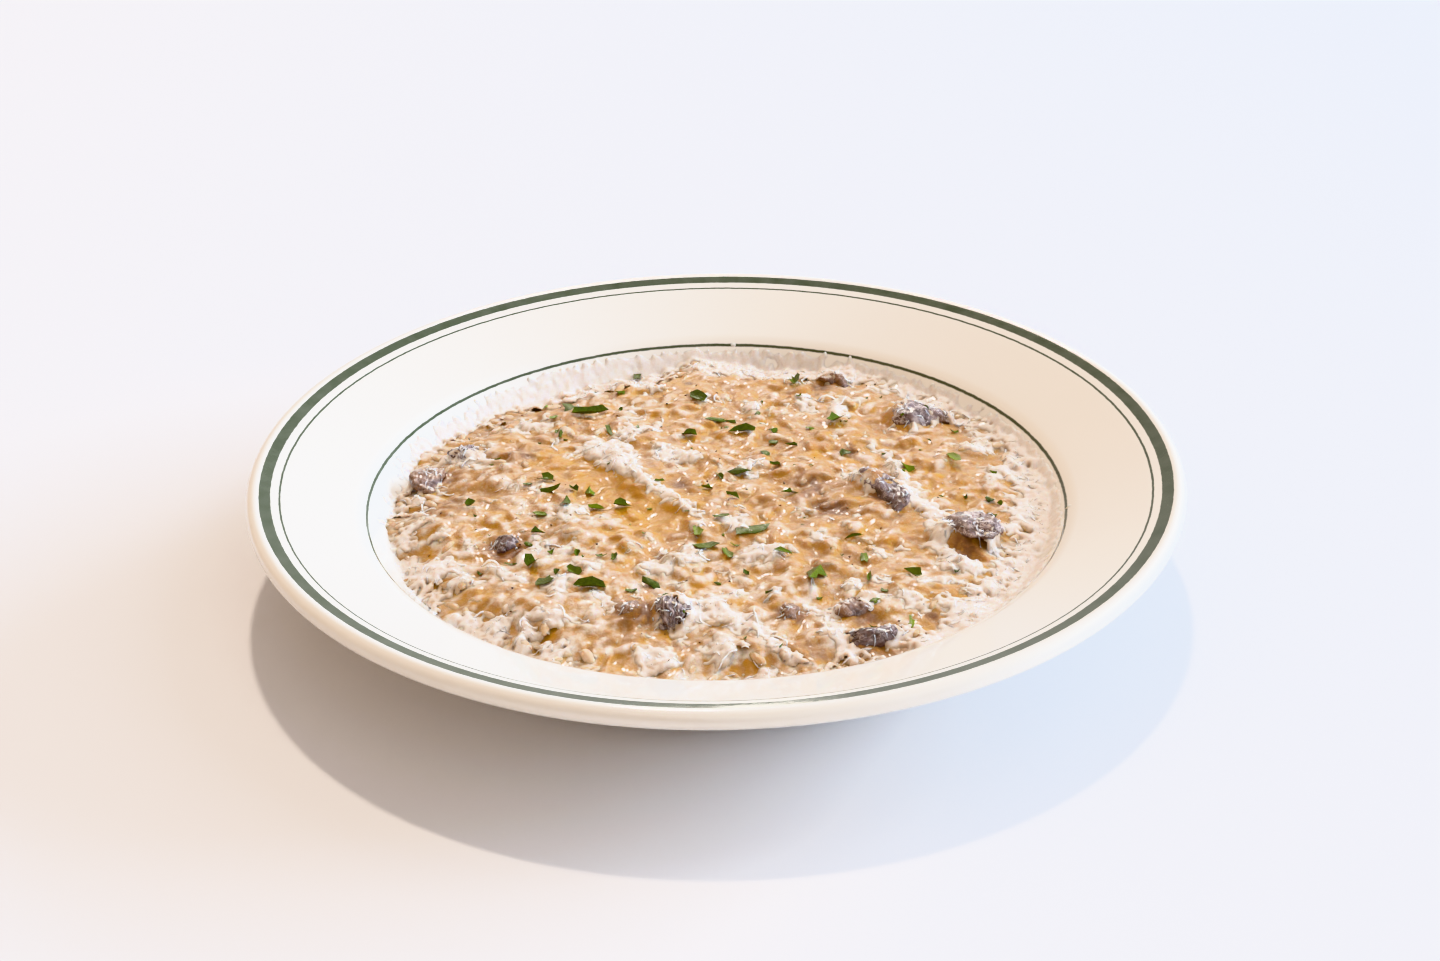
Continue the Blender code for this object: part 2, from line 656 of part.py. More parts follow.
def lay_toppings(heap):
    """Fuse the parsley and the largest curls of cheese to the heap."""
    rng = random.Random(SEED + 1)
    height_at = surface_finder(heap)
    toppings = []
    leaves = [(x, y, length, width, math.radians(turn)) for x, y, length, width, turn in PARSLEY_LEAVES]
    for x, y in scatter(rng, PARSLEY_SCATTER, HEAP_RADIUS - PARSLEY_REACH, PARSLEY_SIZE[1]):
        length = rng.uniform(*PARSLEY_SIZE)
        leaves.append((x, y, length, length * rng.uniform(0.5, 0.8), rng.uniform(0, math.tau)))
    for leaf in leaves:
        toppings.append(new_object("leaf", leaf_mesh(rng, *leaf, height_at), CREAMY_RICE))
    for x, y in scatter(rng, CHEESE_CURLS, CHEESE_MARGIN, CHEESE_LENGTH[1]):
        toppings.append(new_object("curl", curl_mesh(rng, x, y, height_at), CREAMY_RICE))
    combine(heap, toppings, "UNION")
    keep_largest_island(heap)


def main():
    clear_scene()
    make_bowl()
    make_mushrooms()
    heap = make_heap()
    cut_pockets(heap)
    lay_toppings(heap)


main()
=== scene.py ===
"""Looks of a mushroom risotto in its wide-rimmed porcelain bowl.

Sizes are in millimetres, and new_piece() turns them into metres. The origin is on the table, under
the middle of the bowl, with +Z up, -Y at the front and +X at the right. Heights over the food are
kept on square grids, so that whatever is laid there follows what is under it.
"""
import math
import random

import bmesh
import bpy
import numpy as np
from mathutils import Matrix, Vector, noise
from mathutils.bvhtree import BVHTree


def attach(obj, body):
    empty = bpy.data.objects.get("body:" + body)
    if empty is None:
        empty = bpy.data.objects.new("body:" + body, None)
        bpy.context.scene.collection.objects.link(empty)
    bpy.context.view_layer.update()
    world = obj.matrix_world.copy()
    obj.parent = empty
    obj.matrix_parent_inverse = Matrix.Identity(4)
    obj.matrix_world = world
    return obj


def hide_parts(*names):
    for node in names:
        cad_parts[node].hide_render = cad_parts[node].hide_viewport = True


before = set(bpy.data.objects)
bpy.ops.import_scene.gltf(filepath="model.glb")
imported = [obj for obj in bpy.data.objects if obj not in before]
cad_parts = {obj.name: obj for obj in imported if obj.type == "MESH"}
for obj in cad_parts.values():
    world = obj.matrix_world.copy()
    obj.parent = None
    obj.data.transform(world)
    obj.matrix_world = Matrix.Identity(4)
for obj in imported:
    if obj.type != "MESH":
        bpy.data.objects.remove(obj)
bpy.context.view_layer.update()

MM = 0.001
SEED = 7

# ---- the photograph's view
PHOTO_WIDTH = 1440           # pixels
PHOTO_MIDDLE = (720, 480.5)
SENSOR_WIDTH = 36.0
CAMERA_LENS = 65.0
CAMERA_PLACE = (1.2054, -715.81, 414.67)
CAMERA_DOWN = math.radians(28.216)
CAMERA_ROLL = math.radians(-0.749)
SEEN_HEIGHT = 24.5           # over the table, of food that is placed by its pixels

# ---- the bowl's sizes
BOWL_SIDES = 256
RIM_RADIUS = 145.0
RIM_TOP = 38.4
LIP_ROLL = 2.9
RIM_POINT = (137.4, 37.3)
RIM_SLOPE = math.radians(19.6)
WELL_POINT = (108.8, 26.2)
WELL_SLOPE = math.radians(46.6)
WELL_FLOOR = 9.8
WELL_BEND = 34.0
SHOULDER_BEND = 12.0
WALL = 4.9
UNDERSIDE = 4.0
FOOT_OUTER = 79.0
FOOT_INNER = 71.0
FOOT_TAPER = 1.5
RINGS = (                    # inner and outer radius of each green ring
    (137.2, 140.8), (134.2, 134.95), (108.35, 109.15))
RING_SOFT = 0.16             # half the width of a ring's soft edge

# ---- the heap's sizes
HEAP_RADIUS = 103.0
HEAP_RADIUS_VARIES = 4.0
HEAP_LEANS_RIGHT = 1.6
PLACE_REACH = HEAP_RADIUS + 4
FIELD_REACH = 112.0          # of every grid, each way from the middle
FIELD_PITCH = 0.5
FIELD_QUADS = 296            # along each side of the food's surface
SCAN_PITCH = 2.0             # between the places where the CAD heap's height is read
SCAN_BLUR = 1.3              # in those steps
SAUCE_DOWN = 0.35            # from the CAD heap's mean height to the sauce between the grains
SKIRT_STEPS = 14             # of the grid, that sauce reaches out from a piece of mushroom
SKIRT_SLOPE = 0.8
BARE_SPOTS = (               # where a piece stands free of the sauce, or lies under it
    (77, -33, 3.0, 0.6), (-12, -74, 7.0, 0.5), (-25, -68, 4.5, -0.14), (20, -68, 4.0, -0.12),
    (45, 9, 5.5, -0.2), (55, -2, 5.0, 0.4), (66, -18, 4.0, -0.4), (44, -83, 9.0, 1.0),
    (-92, 16, 6.0, -0.45))

# ---- rice
GRAIN_LENGTH = (5.8, 7.6)
GRAIN_WIDTH = (2.9, 3.7)
GRAIN_DEPTH = 2.5
GRAIN_SHAPES = 10
GRAIN_SPACING = 2.75
TOP_GRAINS = 480             # at most, that show one by one
SUNK_GRAINS = 2600           # that only raise the sauce
CHEESE_MOUNDS = 1200         # soft lumps of cheese that are part of the sauce's surface
MOUND_LENGTH = (1.4, 4.6)

# ---- places on the food
# Seen ones are read off the photograph: pixels across and down, radius in pixels, and amount.
# Placed ones are in millimetres: x, y, radius and amount.
SPOT_PIXELS = 3.3            # to the millimetre
SPOT_GROWS = 1.25            # times the radius seen, as a spot fades towards its edge
SPOT_LEAST = 2               # millimetres
CHEESE_SEEN = (
    (625, 370, 14, 1.1), (647, 385, 10, 1.1), (587, 395, 11, 0.9), (532, 422, 15, 0.9),
    (632, 412, 15, 0.8), (642, 435, 15, 0.9), (600, 450, 18, 1.2), (622, 465, 14, 1.1),
    (682, 460, 15, 1.2), (470, 462, 15, 0.9), (450, 487, 8, 0.6), (578, 514, 17, 0.9), (407, 505, 9, 0.9),
    (418, 515, 8, 0.8), (415, 531, 8, 0.8), (442, 530, 8, 0.9), (400, 548, 12, 0.9), (412, 566, 12, 0.8),
    (467, 545, 6, 0.8), (455, 572, 11, 0.9), (547, 547, 14, 0.9), (592, 570, 10, 0.8),
    (562, 586, 13, 1.0), (682, 560, 15, 0.9), (650, 570, 9, 1.3), (704, 607, 13, 1.2),
    (537, 620, 12, 0.8), (560, 615, 9, 0.9), (490, 615, 11, 0.9), (647, 647, 12, 1.0),
    (532, 642, 13, 0.8), (720, 642, 12, 0.9), (452, 607, 10, 0.7), (575, 640, 10, 0.6),
    (735, 362, 14, 0.7), (800, 400, 12, 0.9), (840, 407, 14, 1.0), (752, 407, 6, 1.2), (752, 470, 9, 1.2),
    (835, 465, 10, 0.7), (975, 445, 8, 1.4), (1020, 465, 15, 0.8), (1042, 482, 13, 0.8),
    (1025, 537, 10, 0.8), (1015, 558, 13, 0.9), (997, 580, 11, 0.8), (970, 607, 13, 0.9),
    (762, 555, 13, 1.5), (730, 525, 11, 0.8), (862, 582, 15, 1.0), (872, 598, 12, 1.0),
    (915, 596, 10, 0.9), (817, 607, 10, 0.9), (740, 620, 13, 0.9), (720, 647, 10, 0.8),
    (762, 632, 10, 0.8), (855, 515, 11, 0.8), (805, 512, 8, 0.6), (820, 540, 9, 0.7), (705, 400, 10, 0.6),
    (760, 385, 7, 0.5), (900, 430, 8, 0.6), (690, 500, 8, 0.5), (780, 590, 10, 0.6), (960, 560, 10, 1.0),
    (1040, 510, 10, 0.8), (990, 470, 9, 0.6), (600, 600, 9, 0.6), (640, 620, 9, 0.6), (790, 650, 11, 0.6),
    (870, 655, 9, 0.6), (930, 640, 11, 0.7))
CHEESE_PLACED = (
    (-84, -35, 4.5, 0.7), (-14, -92, 5.0, 0.6), (44, 13, 3.5, 1.0), (46, 5, 2.5, 0.9), (32, -79, 3.5, 0.6),
    (61, -31, 4.5, 0.7), (66, -50, 5.0, 0.8), (51, -40, 4.0, 0.7))
CHEESE_PATHS = (             # places along it, half width and amount
    (((-38, 30), (-30, 19), (-23, 8), (-15, -1), (-8, -11), (-5, -22)), 2.6, 1.3),
    (((48, 38), (55, 27), (58, 17), (62, -3), (70, -12)), 2.2, 1.2),
    (((65, -5), (66, -22), (69, -36), (77, -44)), 2.2, 1.2),
    (((-68, -40), (-63, -45), (-56, -52)), 2.2, 1.0),
    (((33, -80), (36, -87), (41, -89)), 1.4, 0.9),
    (((-62, 76), (-30, 92), (5, 98), (45, 90)), 5.0, 0.5),
    (((100, 14), (101, -20), (91, -50), (70, -78)), 5.0, 0.6))
GOLD_SEEN = (
    (510, 410, 14, 0.8), (560, 460, 17, 0.9), (485, 440, 12, 0.6), (615, 482, 14, 0.8),
    (665, 522, 22, 1.3), (570, 515, 15, 0.5), (445, 545, 15, 1.0), (682, 378, 16, 1.0),
    (670, 415, 9, 0.8), (720, 435, 12, 0.7), (632, 565, 14, 0.8), (440, 577, 9, 0.8), (600, 655, 15, 0.8),
    (628, 660, 10, 0.8), (770, 382, 15, 1.0), (735, 430, 13, 0.6), (762, 440, 12, 0.7),
    (855, 445, 12, 0.7), (812, 457, 11, 0.8), (920, 480, 10, 0.7), (950, 495, 13, 0.6),
    (750, 647, 14, 0.9), (912, 545, 16, 0.2), (950, 585, 18, 0.15), (500, 520, 14, 0.6),
    (700, 590, 12, 0.6), (790, 560, 12, 0.6), (480, 590, 12, 0.6), (870, 380, 12, 0.5),
    (1000, 520, 10, 0.5))
# Brown spots near the mushrooms: partly browned sauce, partly painted shade beside and under the pieces.
STAIN_AND_SHADE_SEEN = (
    (807, 490, 16, 1.1), (832, 510, 14, 1.0), (875, 487, 8, 0.8), (795, 612, 12, 1.2),
    (812, 645, 13, 0.8), (930, 610, 5, 0.9), (860, 610, 12, 1.1), (525, 457, 15, 0.6), (567, 470, 8, 0.6),
    (677, 487, 10, 0.6), (690, 380, 5, 0.8), (850, 450, 9, 0.5), (870, 640, 20, 0.6), (450, 500, 14, 0.4),
    (900, 520, 10, 0.7), (660, 560, 6, 1.0), (820, 380, 10, 0.4), (530, 530, 9, 0.4))
STAIN_AND_SHADE_PLACED = (
    (76, -33, 4.0, 1.5), (52, -4, 4.5, 0.9), (-91, 19, 6.1, 1.0), (-25, -69, 6.0, 1.6),
    (-64, -29, 6.0, 1.0), (78, -32, 3.4, 0.8))
SCOOP = ((-40, 14), (-30, 0), (-17, -15))       # smooth hollow that a spoon left
SCOOP_WIDTH = 7.0

# ---- cheese
STRANDS = 15000              # of grated cheese, heaped into one felt
STRAND_LENGTH = (0.8, 3.0)
STRAND_WIDTH = (0.4, 1.0)
SHORT_LENGTH = (0.6, 1.7)    # of strands outside the heap and of loose ones
FRINGES = (                  # direction and spread in degrees, and number of strands on the porcelain
    (-5, 28, 900), (112, 27, 1200))
FRINGE_LENGTH = (0.3, 1.2)
FRINGE_WIDTH = (0.8, 1.7)
FRINGE_RADIUS = 107.4
LINE_CRUMBS = (              # on the well's green line
    (108.2, -12.8), (7.0, 108.5), (38.3, 101.6), (46.8, 98.1))
FELT_PITCH = 0.25
FELT_STEP = 0.44             # between the points of the felt's surface
FELT_GROUND = -0.7           # under the food's surface, where there is no cheese
FELT_LEAST = -0.12           # over the food's surface: squares that lie lower are left out
SHREDS = 600                 # that lie loose on the felt
SHRED_LENGTH = (1.0, 3.6)
SHRED_WIDTH = (0.28, 0.58)
CAP_SHREDS = 260             # that lie on the pieces of mushroom
CAP_SHRED_LENGTH = (0.8, 2.4)
CAP_SHRED_WIDTH = (0.3, 0.6)
CURLS = 60
CURL_LENGTH = (3.5, 8.0)
CURL_WIDTH = (0.4, 0.85)
CRUMBS = 900
CRUMB_SIZE = (0.16, 0.5)
CRUMB_VERTS = np.array([(1, 0, 0), (-1, 0, 0), (0, 1, 0), (0, -1, 0), (0, 0, 1), (0, 0, -1)], float)
CRUMB_FACES = np.array(
    [(4, 0, 2), (4, 2, 1), (4, 1, 3), (4, 3, 0), (5, 2, 0), (5, 1, 2), (5, 3, 1), (5, 0, 3)])

# ---- parsley and specks
PARSLEY_SEEN = (             # pixels across and down, width and height in pixels, lean and brightness
    (636, 366, 9, 20, 0, 0.15), (570, 407, 17, 13, 1, 0.15), (590, 412, 28, 7, 1, 0.2),
    (553, 418, 10, 4, 1, 0.6), (545, 406, 4, 12, 0, 0.7), (621, 391, 10, 5, 1, 0.25),
    (620, 407, 5, 4, 1, 0.1), (697, 399, 19, 11, -1, 0.15), (719, 420, 22, 6, 0, 0.2),
    (561, 435, 5, 9, 0, 0.1), (609, 432, 5, 12, -1, 0.2), (687, 437, 14, 8, 0, 0.2),
    (497, 457, 9, 3, 0, 0.15), (545, 482, 17, 8, 0, 0.2), (549, 492, 19, 5, 0, 0.15),
    (527, 487, 10, 5, 1, 0.1), (575, 490, 8, 5, -1, 0.05), (591, 491, 8, 9, 0, 0.6),
    (596, 509, 14, 5, 0, 0.75), (566, 506, 14, 17, 0, 0.1), (539, 516, 17, 6, 0, 0.5),
    (622, 506, 17, 8, 0, 0.25), (471, 507, 11, 7, 1, 0.2), (537, 535, 16, 5, 1, 0.05),
    (529, 544, 9, 4, -1, 0.15), (550, 554, 8, 4, 1, 0.2), (577, 556, 5, 7, 0, 0.2),
    (510, 562, 17, 2.5, 0, 0.25), (531, 566, 15, 10, 1, 0.2), (556, 574, 6, 6, 0, 0.05),
    (574, 575, 13, 12, 1, 0.25), (544, 582, 17, 8, 1, 0.2), (590, 590, 35, 9, 0, 0.15),
    (614, 562, 6, 8, 0, 0.2), (599, 560, 10, 3, 0, 0.35), (480, 570, 4, 4, 1, 0.0),
    (697, 537, 12, 15, 0, 1.0), (706, 550, 17, 18, 1, 0.25), (649, 584, 14, 13, 1, 0.0),
    (632, 592, 12, 5, 0, 0.2), (666, 597, 7, 6, 0, 0.2), (720, 522, 20, 4, 0, 0.3),
    (719, 480, 6, 8, -1, 0.2), (707, 490, 11, 4, 0, 0.5), (646, 540, 5, 4, 0, 0.4),
    (795, 377, 9, 17, 0, 0.3), (732, 420, 12, 5, 0, 0.2), (746, 434, 27, 7, 0, 0.15),
    (759, 415, 6, 5, 0, 0.2), (772, 431, 11, 6, 1, 0.2), (794, 449, 12, 3, 0, 0.2),
    (775, 446, 9, 9, -1, 0.15), (765, 457, 11, 8, 0, 0.1), (776, 470, 13, 4, 0, 0.1),
    (834, 424, 19, 14, -1, 0.25), (809, 430, 8, 5, 0, 0.6), (847, 454, 10, 7, 1, 0.1),
    (740, 477, 22, 8, -1, 0.15), (789, 497, 15, 4, 1, 0.2), (732, 500, 14, 5, -1, 0.2),
    (911, 468, 14, 7, 0, 0.6), (951, 460, 12, 24, -1, 0.9), (964, 496, 5, 5, 0, 0.0),
    (991, 499, 12, 6, -1, 0.0), (992, 520, 12, 5, 0, 0.3), (955, 426, 8, 4, 1, 0.4),
    (854, 540, 15, 3, 0, 0.15), (750, 535, 34, 12, 1, 0.2), (726, 555, 8, 14, -1, 0.5),
    (782, 559, 20, 5, 0, 0.3), (815, 579, 17, 20, 1, 0.3), (864, 560, 7, 13, 0, 0.5),
    (912, 575, 14, 13, 1, 0.3), (869, 577, 4, 13, 0, 0.4), (746, 574, 7, 7, 0, 0.0),
    (875, 600, 10, 5, 1, 0.4), (885, 590, 9, 4, -1, 0.3), (912, 620, 6, 14, 0, 0.8),
    (767, 594, 8, 4, 1, 0.2), (820, 594, 6, 3, 0, 0.2))
LEAF_DEEPENS = 1.12          # leaves lie a little tilted towards the viewer
LEAF_LIES = 0.75             # share of the depth seen that isn't a fold's height
LEAF_UPRIGHT = 1.15          # times its width: one seen taller lies away from the viewer
LEAF_LEAN = 20               # degrees
LEAF_LONGEST = 8.5           # of those that lie away from the viewer
LEAF_THICKNESS = 0.13
LEAF_GROWS = 1.28            # the seen sizes are of what shows between folds
PARSLEY_BITS = 50            # smaller ones, scattered
SPECKS = 90
SPECK_SIZE = (0.2, 0.55)

# ---- mushrooms
MUSHROOM_LOOKS = {           # shares of fine cheese, of tan and of pale ridges
    "dusted": (0.9, 0.35, 0.0), "tan": (0.2, 0.8, 0.0), "dark": (0.3, 0.15, 0.0),
    "gills": (0.2, 0.2, 0.35)}
MUSHROOMS = {                # the others are dusted
    "gills_front": "gills", "stub_front": "tan", "slice_front_right": "dark", "chunk_front_right": "tan",
    "chunk_front": "tan", "cap_left": "tan", "bit_left": "dark", "slice_centre_right": "dark",
    "tip_back": "tan"}
RIBBED = ("gills_front", "strip_left")
RIBS = 54                    # in a full circle round a point in front of the piece's middle
RIBS_FROM = 16.0             # from that point to the middle
SMALL_MUSHROOM = 150         # a solid with fewer faces is subdivided once more

# ---- colours, in linear light
PORCELAIN = (0.74, 0.69, 0.62)
RING_GREEN = (0.036, 0.052, 0.024)
CREAM_GOLD = (0.42, 0.205, 0.024)
CREAM_TAN = (0.33, 0.176, 0.076)
CREAM_WHITE = (0.59, 0.475, 0.37)
CREAM_DEEP = (0.27, 0.118, 0.035)
# the brown of both the stains and the painted shade
CREAM_STAIN_AND_SHADE = (0.17, 0.075, 0.03)
GRAIN_PALE = (0.53, 0.38, 0.245)
GRAIN_GOLD = (0.48, 0.30, 0.13)
CHEESE_WHITE = (0.685, 0.625, 0.575)
CHEESE_CREAM = (0.62, 0.52, 0.44)
LEAF_DARK = (0.014, 0.024, 0.004)
LEAF_BRIGHT = (0.125, 0.165, 0.006)
MUSHROOM_DARK = (0.055, 0.032, 0.026)
MUSHROOM_GREY = (0.20, 0.145, 0.145)
MUSHROOM_DUST = (0.57, 0.465, 0.42)
MUSHROOM_TAN = (0.21, 0.12, 0.078)
SPECK_BROWN = (0.10, 0.05, 0.03)
TABLE_GREY = (0.71, 0.70, 0.71)
TABLE_PALE = (0.73, 0.72, 0.73)

# ---- light
TABLE_REACH = 3000.0
SKY_STRENGTH = 0.75
SKY_WARM = (1.0, 0.73, 0.51)
SKY_COOL = (0.96, 0.93, 0.96)
SKY_COOL_SIDE = (0.85, 0.5, 0.0)        # where the sky is cool
SKY_BLEND = 0.7              # towards that side and away from it, where the colours are whole
SUN_ANGLE = math.radians(3.0)
LIGHT_DISTANCE = 2.0         # metres
LIGHTS = (                   # name, kind, direction it shines in, settings, and rays that don't see it
    ("key", "SUN", (1.25, -21.6, -38.4), {"energy": 1.8, "angle": SUN_ANGLE, "color": (1.0, 0.87, 0.74)},
     "glossy"),
    ("glints", "SUN", (1.0, -30, -24), {"energy": 1.6, "angle": SUN_ANGLE, "color": (1.0, 0.93, 0.84)},
     "diffuse"),
    ("fill", "AREA", (-22, 55, -40), {"energy": 8.5, "size": 1.6, "color": (0.72, 0.88, 1.0)}, None),
    ("window", "AREA", (-35, -22, -38), {"energy": 14.0, "size": 1.0, "color": (0.86, 0.92, 1.0)}, "glossy"),
    ("low_window", "AREA", (-86, -40, -30),
     {"energy": 150.0, "shape": "RECTANGLE", "size": 2.2, "size_y": 0.5, "color": (0.60, 0.77, 1.0)},
     "glossy"))


# ==== places read off the photograph

def camera_axes():
    """Return the camera's right, up and ahead."""
    ahead = Vector((0, math.cos(CAMERA_DOWN), -math.sin(CAMERA_DOWN)))
    right = Matrix.Rotation(-CAMERA_ROLL, 3, ahead) @ Vector((1, 0, 0))
    return right, right.cross(ahead), ahead


def seen_place(across, down):
    """Return the x and y of the food at a pixel, to a millimetre, and the pixels to a millimetre."""
    right, up, ahead = camera_axes()
    focal = CAMERA_LENS / SENSOR_WIDTH * PHOTO_WIDTH
    ray = right * (across - PHOTO_MIDDLE[0]) / focal + up * (PHOTO_MIDDLE[1] - down) / focal + ahead
    reach = (SEEN_HEIGHT - CAMERA_PLACE[2]) / ray.z
    x, y, _ = Vector(CAMERA_PLACE) + reach * ray
    return round(x), round(y), focal / reach


def all_spots(seen, placed=()):
    """Return the seen and the placed spots together, in millimetres."""
    spots_seen = []
    for across, down, radius, amount in seen:
        x, y, _ = seen_place(across, down)
        spots_seen.append((x, y, max(round(radius / SPOT_PIXELS * SPOT_GROWS, 1), SPOT_LEAST), amount))
    return (*spots_seen, *placed)


def seen_leaf(across, down, width, height, lean, bright):
    """Return a leaf's x, y, length, width, turn and brightness from how it shows."""
    x, y, pixels = seen_place(across, down)
    wide = width / pixels
    deep = height / (pixels * math.sin(CAMERA_DOWN) * LEAF_DEEPENS)
    if height > LEAF_UPRIGHT * width:
        length, breadth = min(LEAF_LIES * deep, LEAF_LONGEST), max(wide, 1.0)
        turn = 90 - LEAF_LEAN * lean if lean else 88
    else:
        length, breadth = wide, max(LEAF_LIES * deep, 0.8)
        turn = lean * math.degrees(math.atan2(0.6 * deep, wide))
    if breadth > length:
        length, breadth, turn = breadth, length, turn + 90
    return x, y, round(length, 1), round(breadth, 1), round(turn), bright


# ==== shaders

class Graph:
    """A graph of nodes, with a short call to add one and feed its sockets."""

    def __init__(self, owner):
        owner.use_nodes = True
        self.tree = owner.node_tree

    def feed(self, socket, value):
        """Give a socket a number, a colour or another node's output."""
        if isinstance(value, bpy.types.NodeSocket):
            self.tree.links.new(value, socket)
        elif socket.type == "RGBA":
            socket.default_value = (*value, 1.0)
        else:
            socket.default_value = value

    def node(self, kind, inputs=None, output=0, **settings):
        """Add a node and return one of its outputs."""
        made = self.tree.nodes.new("ShaderNode" + kind)
        for name, value in settings.items():
            setattr(made, name, value)
        for name, value in (inputs or {}).items():
            self.feed(made.inputs[name], value)
        return made.outputs[output]

    def mix(self, share, first, second):
        """Return a colour between two."""
        return self.node("Mix", {0: share, 6: first, 7: second}, output=2, data_type="RGBA")


class Paint(Graph):
    """A material's graph, with a short call for each kind of node used here."""

    def __init__(self, name):
        self.material = bpy.data.materials.new(name)
        super().__init__(self.material)
        self.surface = self.tree.nodes["Principled BSDF"]
        self.place = self.node("TexCoord", output="Object")

    def set(self, **sockets):
        """Set sockets of the surface, with _ for each space in their names."""
        for name, value in sockets.items():
            self.feed(self.surface.inputs[name.replace("_", " ")], value)

    def noise(self, size, detail=3.0, layer=0.0, roughness=0.55):
        """Return noise with features of that size in millimetres."""
        inputs = {"Vector": self.place, "Scale": 1 / (size * MM), "Detail": detail, "W": layer,
                  "Roughness": roughness}
        return self.node("TexNoise", inputs, noise_dimensions="4D")

    def threads(self, size, width, layer=0.0):
        """Return 1 along thin winding lines, and 0 between them."""
        level = self.node("Math", {0: self.noise(size, 2.0, layer), 1: 0.5}, operation="SUBTRACT")
        return self.rise(self.node("Math", {0: level}, operation="ABSOLUTE"), 0.3 * width, width, 1.0, 0.0)

    def rise(self, value, low, high, to_low=0.0, to_high=1.0):
        """Return a smooth step from to_low at low to to_high at high."""
        inputs = {0: value, 1: low, 2: high, 3: to_low, 4: to_high}
        return self.node("MapRange", inputs, interpolation_type="SMOOTHSTEP")

    def math(self, operation, first, second=0.0):
        """Return one sum of two numbers, kept between 0 and 1."""
        return self.node("Math", {0: first, 1: second}, operation=operation, use_clamp=True)

    def times(self, first, second):
        """Return one number times another, kept between 0 and 1."""
        return self.math("MULTIPLY", first, second)

    def tint(self):
        """Return the three numbers that the mesh carries at each point."""
        colour = self.node("Attribute", output="Color", attribute_name="tint")
        split = self.tree.nodes.new("ShaderNodeSeparateColor")
        self.feed(split.inputs[0], colour)
        return split.outputs[0], split.outputs[1], split.outputs[2]

    def rough(self, size, low, high):
        """Let the roughness vary from low to high over that size in millimetres."""
        self.set(Roughness=self.rise(self.noise(size, 3.0, 6.0), 0.3, 0.7, low, high))

    def bump(self, height, distance):
        """Raise the surface by height times a distance in millimetres."""
        normal = self.node("Bump", {"Height": height, "Distance": distance * MM})
        self.set(Normal=normal)


def soft_inside(paint, weight, reach, colour_reach=(1.0, 0.5, 0.25)):
    """Let light into the surface, a reach in millimetres deep."""
    paint.set(Subsurface_Weight=weight, Subsurface_Scale=reach * MM)
    paint.surface.inputs["Subsurface Radius"].default_value = colour_reach


def glaze_paint(name, ringed):
    """Return the porcelain's ivory glaze, with its green rings where ringed."""
    paint = Paint(name)
    colour = paint.mix(paint.rise(paint.noise(30.0), 0.35, 0.65), PORCELAIN, [c * 0.985 for c in PORCELAIN])
    if ringed:
        flat = paint.node("VectorMath", {0: paint.place, 1: (1.0, 1.0, 0.0)}, operation="MULTIPLY")
        radius = paint.node("VectorMath", {0: flat}, output="Value", operation="LENGTH")
        wobble = paint.rise(paint.noise(2.5, 4.0), 0.2, 0.8, -0.09 * MM, 0.09 * MM)
        radius = paint.node("Math", {0: radius, 1: wobble}, operation="ADD")
        for inner, outer in RINGS:
            start = paint.rise(radius, (inner - RING_SOFT) * MM, (inner + RING_SOFT) * MM)
            end = paint.rise(radius, (outer - RING_SOFT) * MM, (outer + RING_SOFT) * MM, 1.0, 0.0)
            ink = paint.rise(paint.noise(6.0, 5.0, 3.0), 0.2, 0.8, 0.95, 1.0)
            share = paint.times(paint.times(start, end), ink)
            colour = paint.mix(share, colour, RING_GREEN)
    paint.set(Base_Color=colour, Coat_Weight=0.5, Coat_Roughness=0.03, IOR=1.5)
    paint.set(Roughness=paint.rise(paint.noise(12.0, 4.0, 5.0), 0.3, 0.7, 0.05, 0.09))
    paint.bump(paint.noise(9.0, 2.0, 8.0), 0.015)
    return paint.material


def cream_paint():
    """Return the creamy sauce. Its mesh carries how golden and cheesy it is, and its stains with painted
    shade.
    """
    paint = Paint("creamy_sauce")
    gold, cheesy, stain_and_shade_share = paint.tint()
    patches = paint.rise(paint.noise(4.0, 4.0, 1.0, 0.5), 0.38, 0.62, 0.0, 0.5)
    colour = paint.mix(paint.math("ADD", gold, patches), CREAM_TAN, CREAM_GOLD)
    calm = paint.rise(gold, 0.2, 1.0, 0.42, 0.15)
    haze = paint.node("MapRange", {0: paint.noise(3.2, 4.0, 2.0, 0.55), 1: 0.25, 2: 0.75, 3: -0.42, 4: calm})
    film = paint.node("Math", {0: cheesy, 1: haze}, operation="ADD")
    colour = paint.mix(paint.rise(film, 0.3, 0.95), colour, CREAM_WHITE)
    colour = paint.mix(paint.rise(film, 0.8, 1.2, 0.0, 0.85), colour, CHEESE_WHITE)
    # Stains with painted shade, broken up by noise.
    brown = paint.times(stain_and_shade_share, paint.rise(paint.noise(2.2, 5.0, 4.0), 0.22, 0.50))
    colour = paint.mix(brown, colour, CREAM_STAIN_AND_SHADE)
    dark = paint.rise(paint.noise(1.3, 5.0, 7.0, 0.7), 0.56, 0.72, 0.0, 0.32)
    colour = paint.mix(paint.times(dark, paint.math("SUBTRACT", 1.0, cheesy)), colour, CREAM_DEEP)
    flecks = paint.rise(paint.noise(1.0, 3.0, 3.0, 0.6), 0.56, 0.70, 0.0, 0.35)
    flecks = paint.times(flecks, paint.math("SUBTRACT", 1.0, paint.math("MAXIMUM", stain_and_shade_share, gold)))
    colour = paint.mix(flecks, colour, CREAM_WHITE)
    paint.set(Base_Color=colour, Coat_Weight=0.5, Coat_Roughness=0.07, IOR=1.4)
    paint.rough(1.6, 0.3, 0.55)
    soft_inside(paint, 0.75, 2.8)
    paint.bump(paint.noise(1.2, 5.0, 9.0, 0.65), 0.26)
    return paint.material


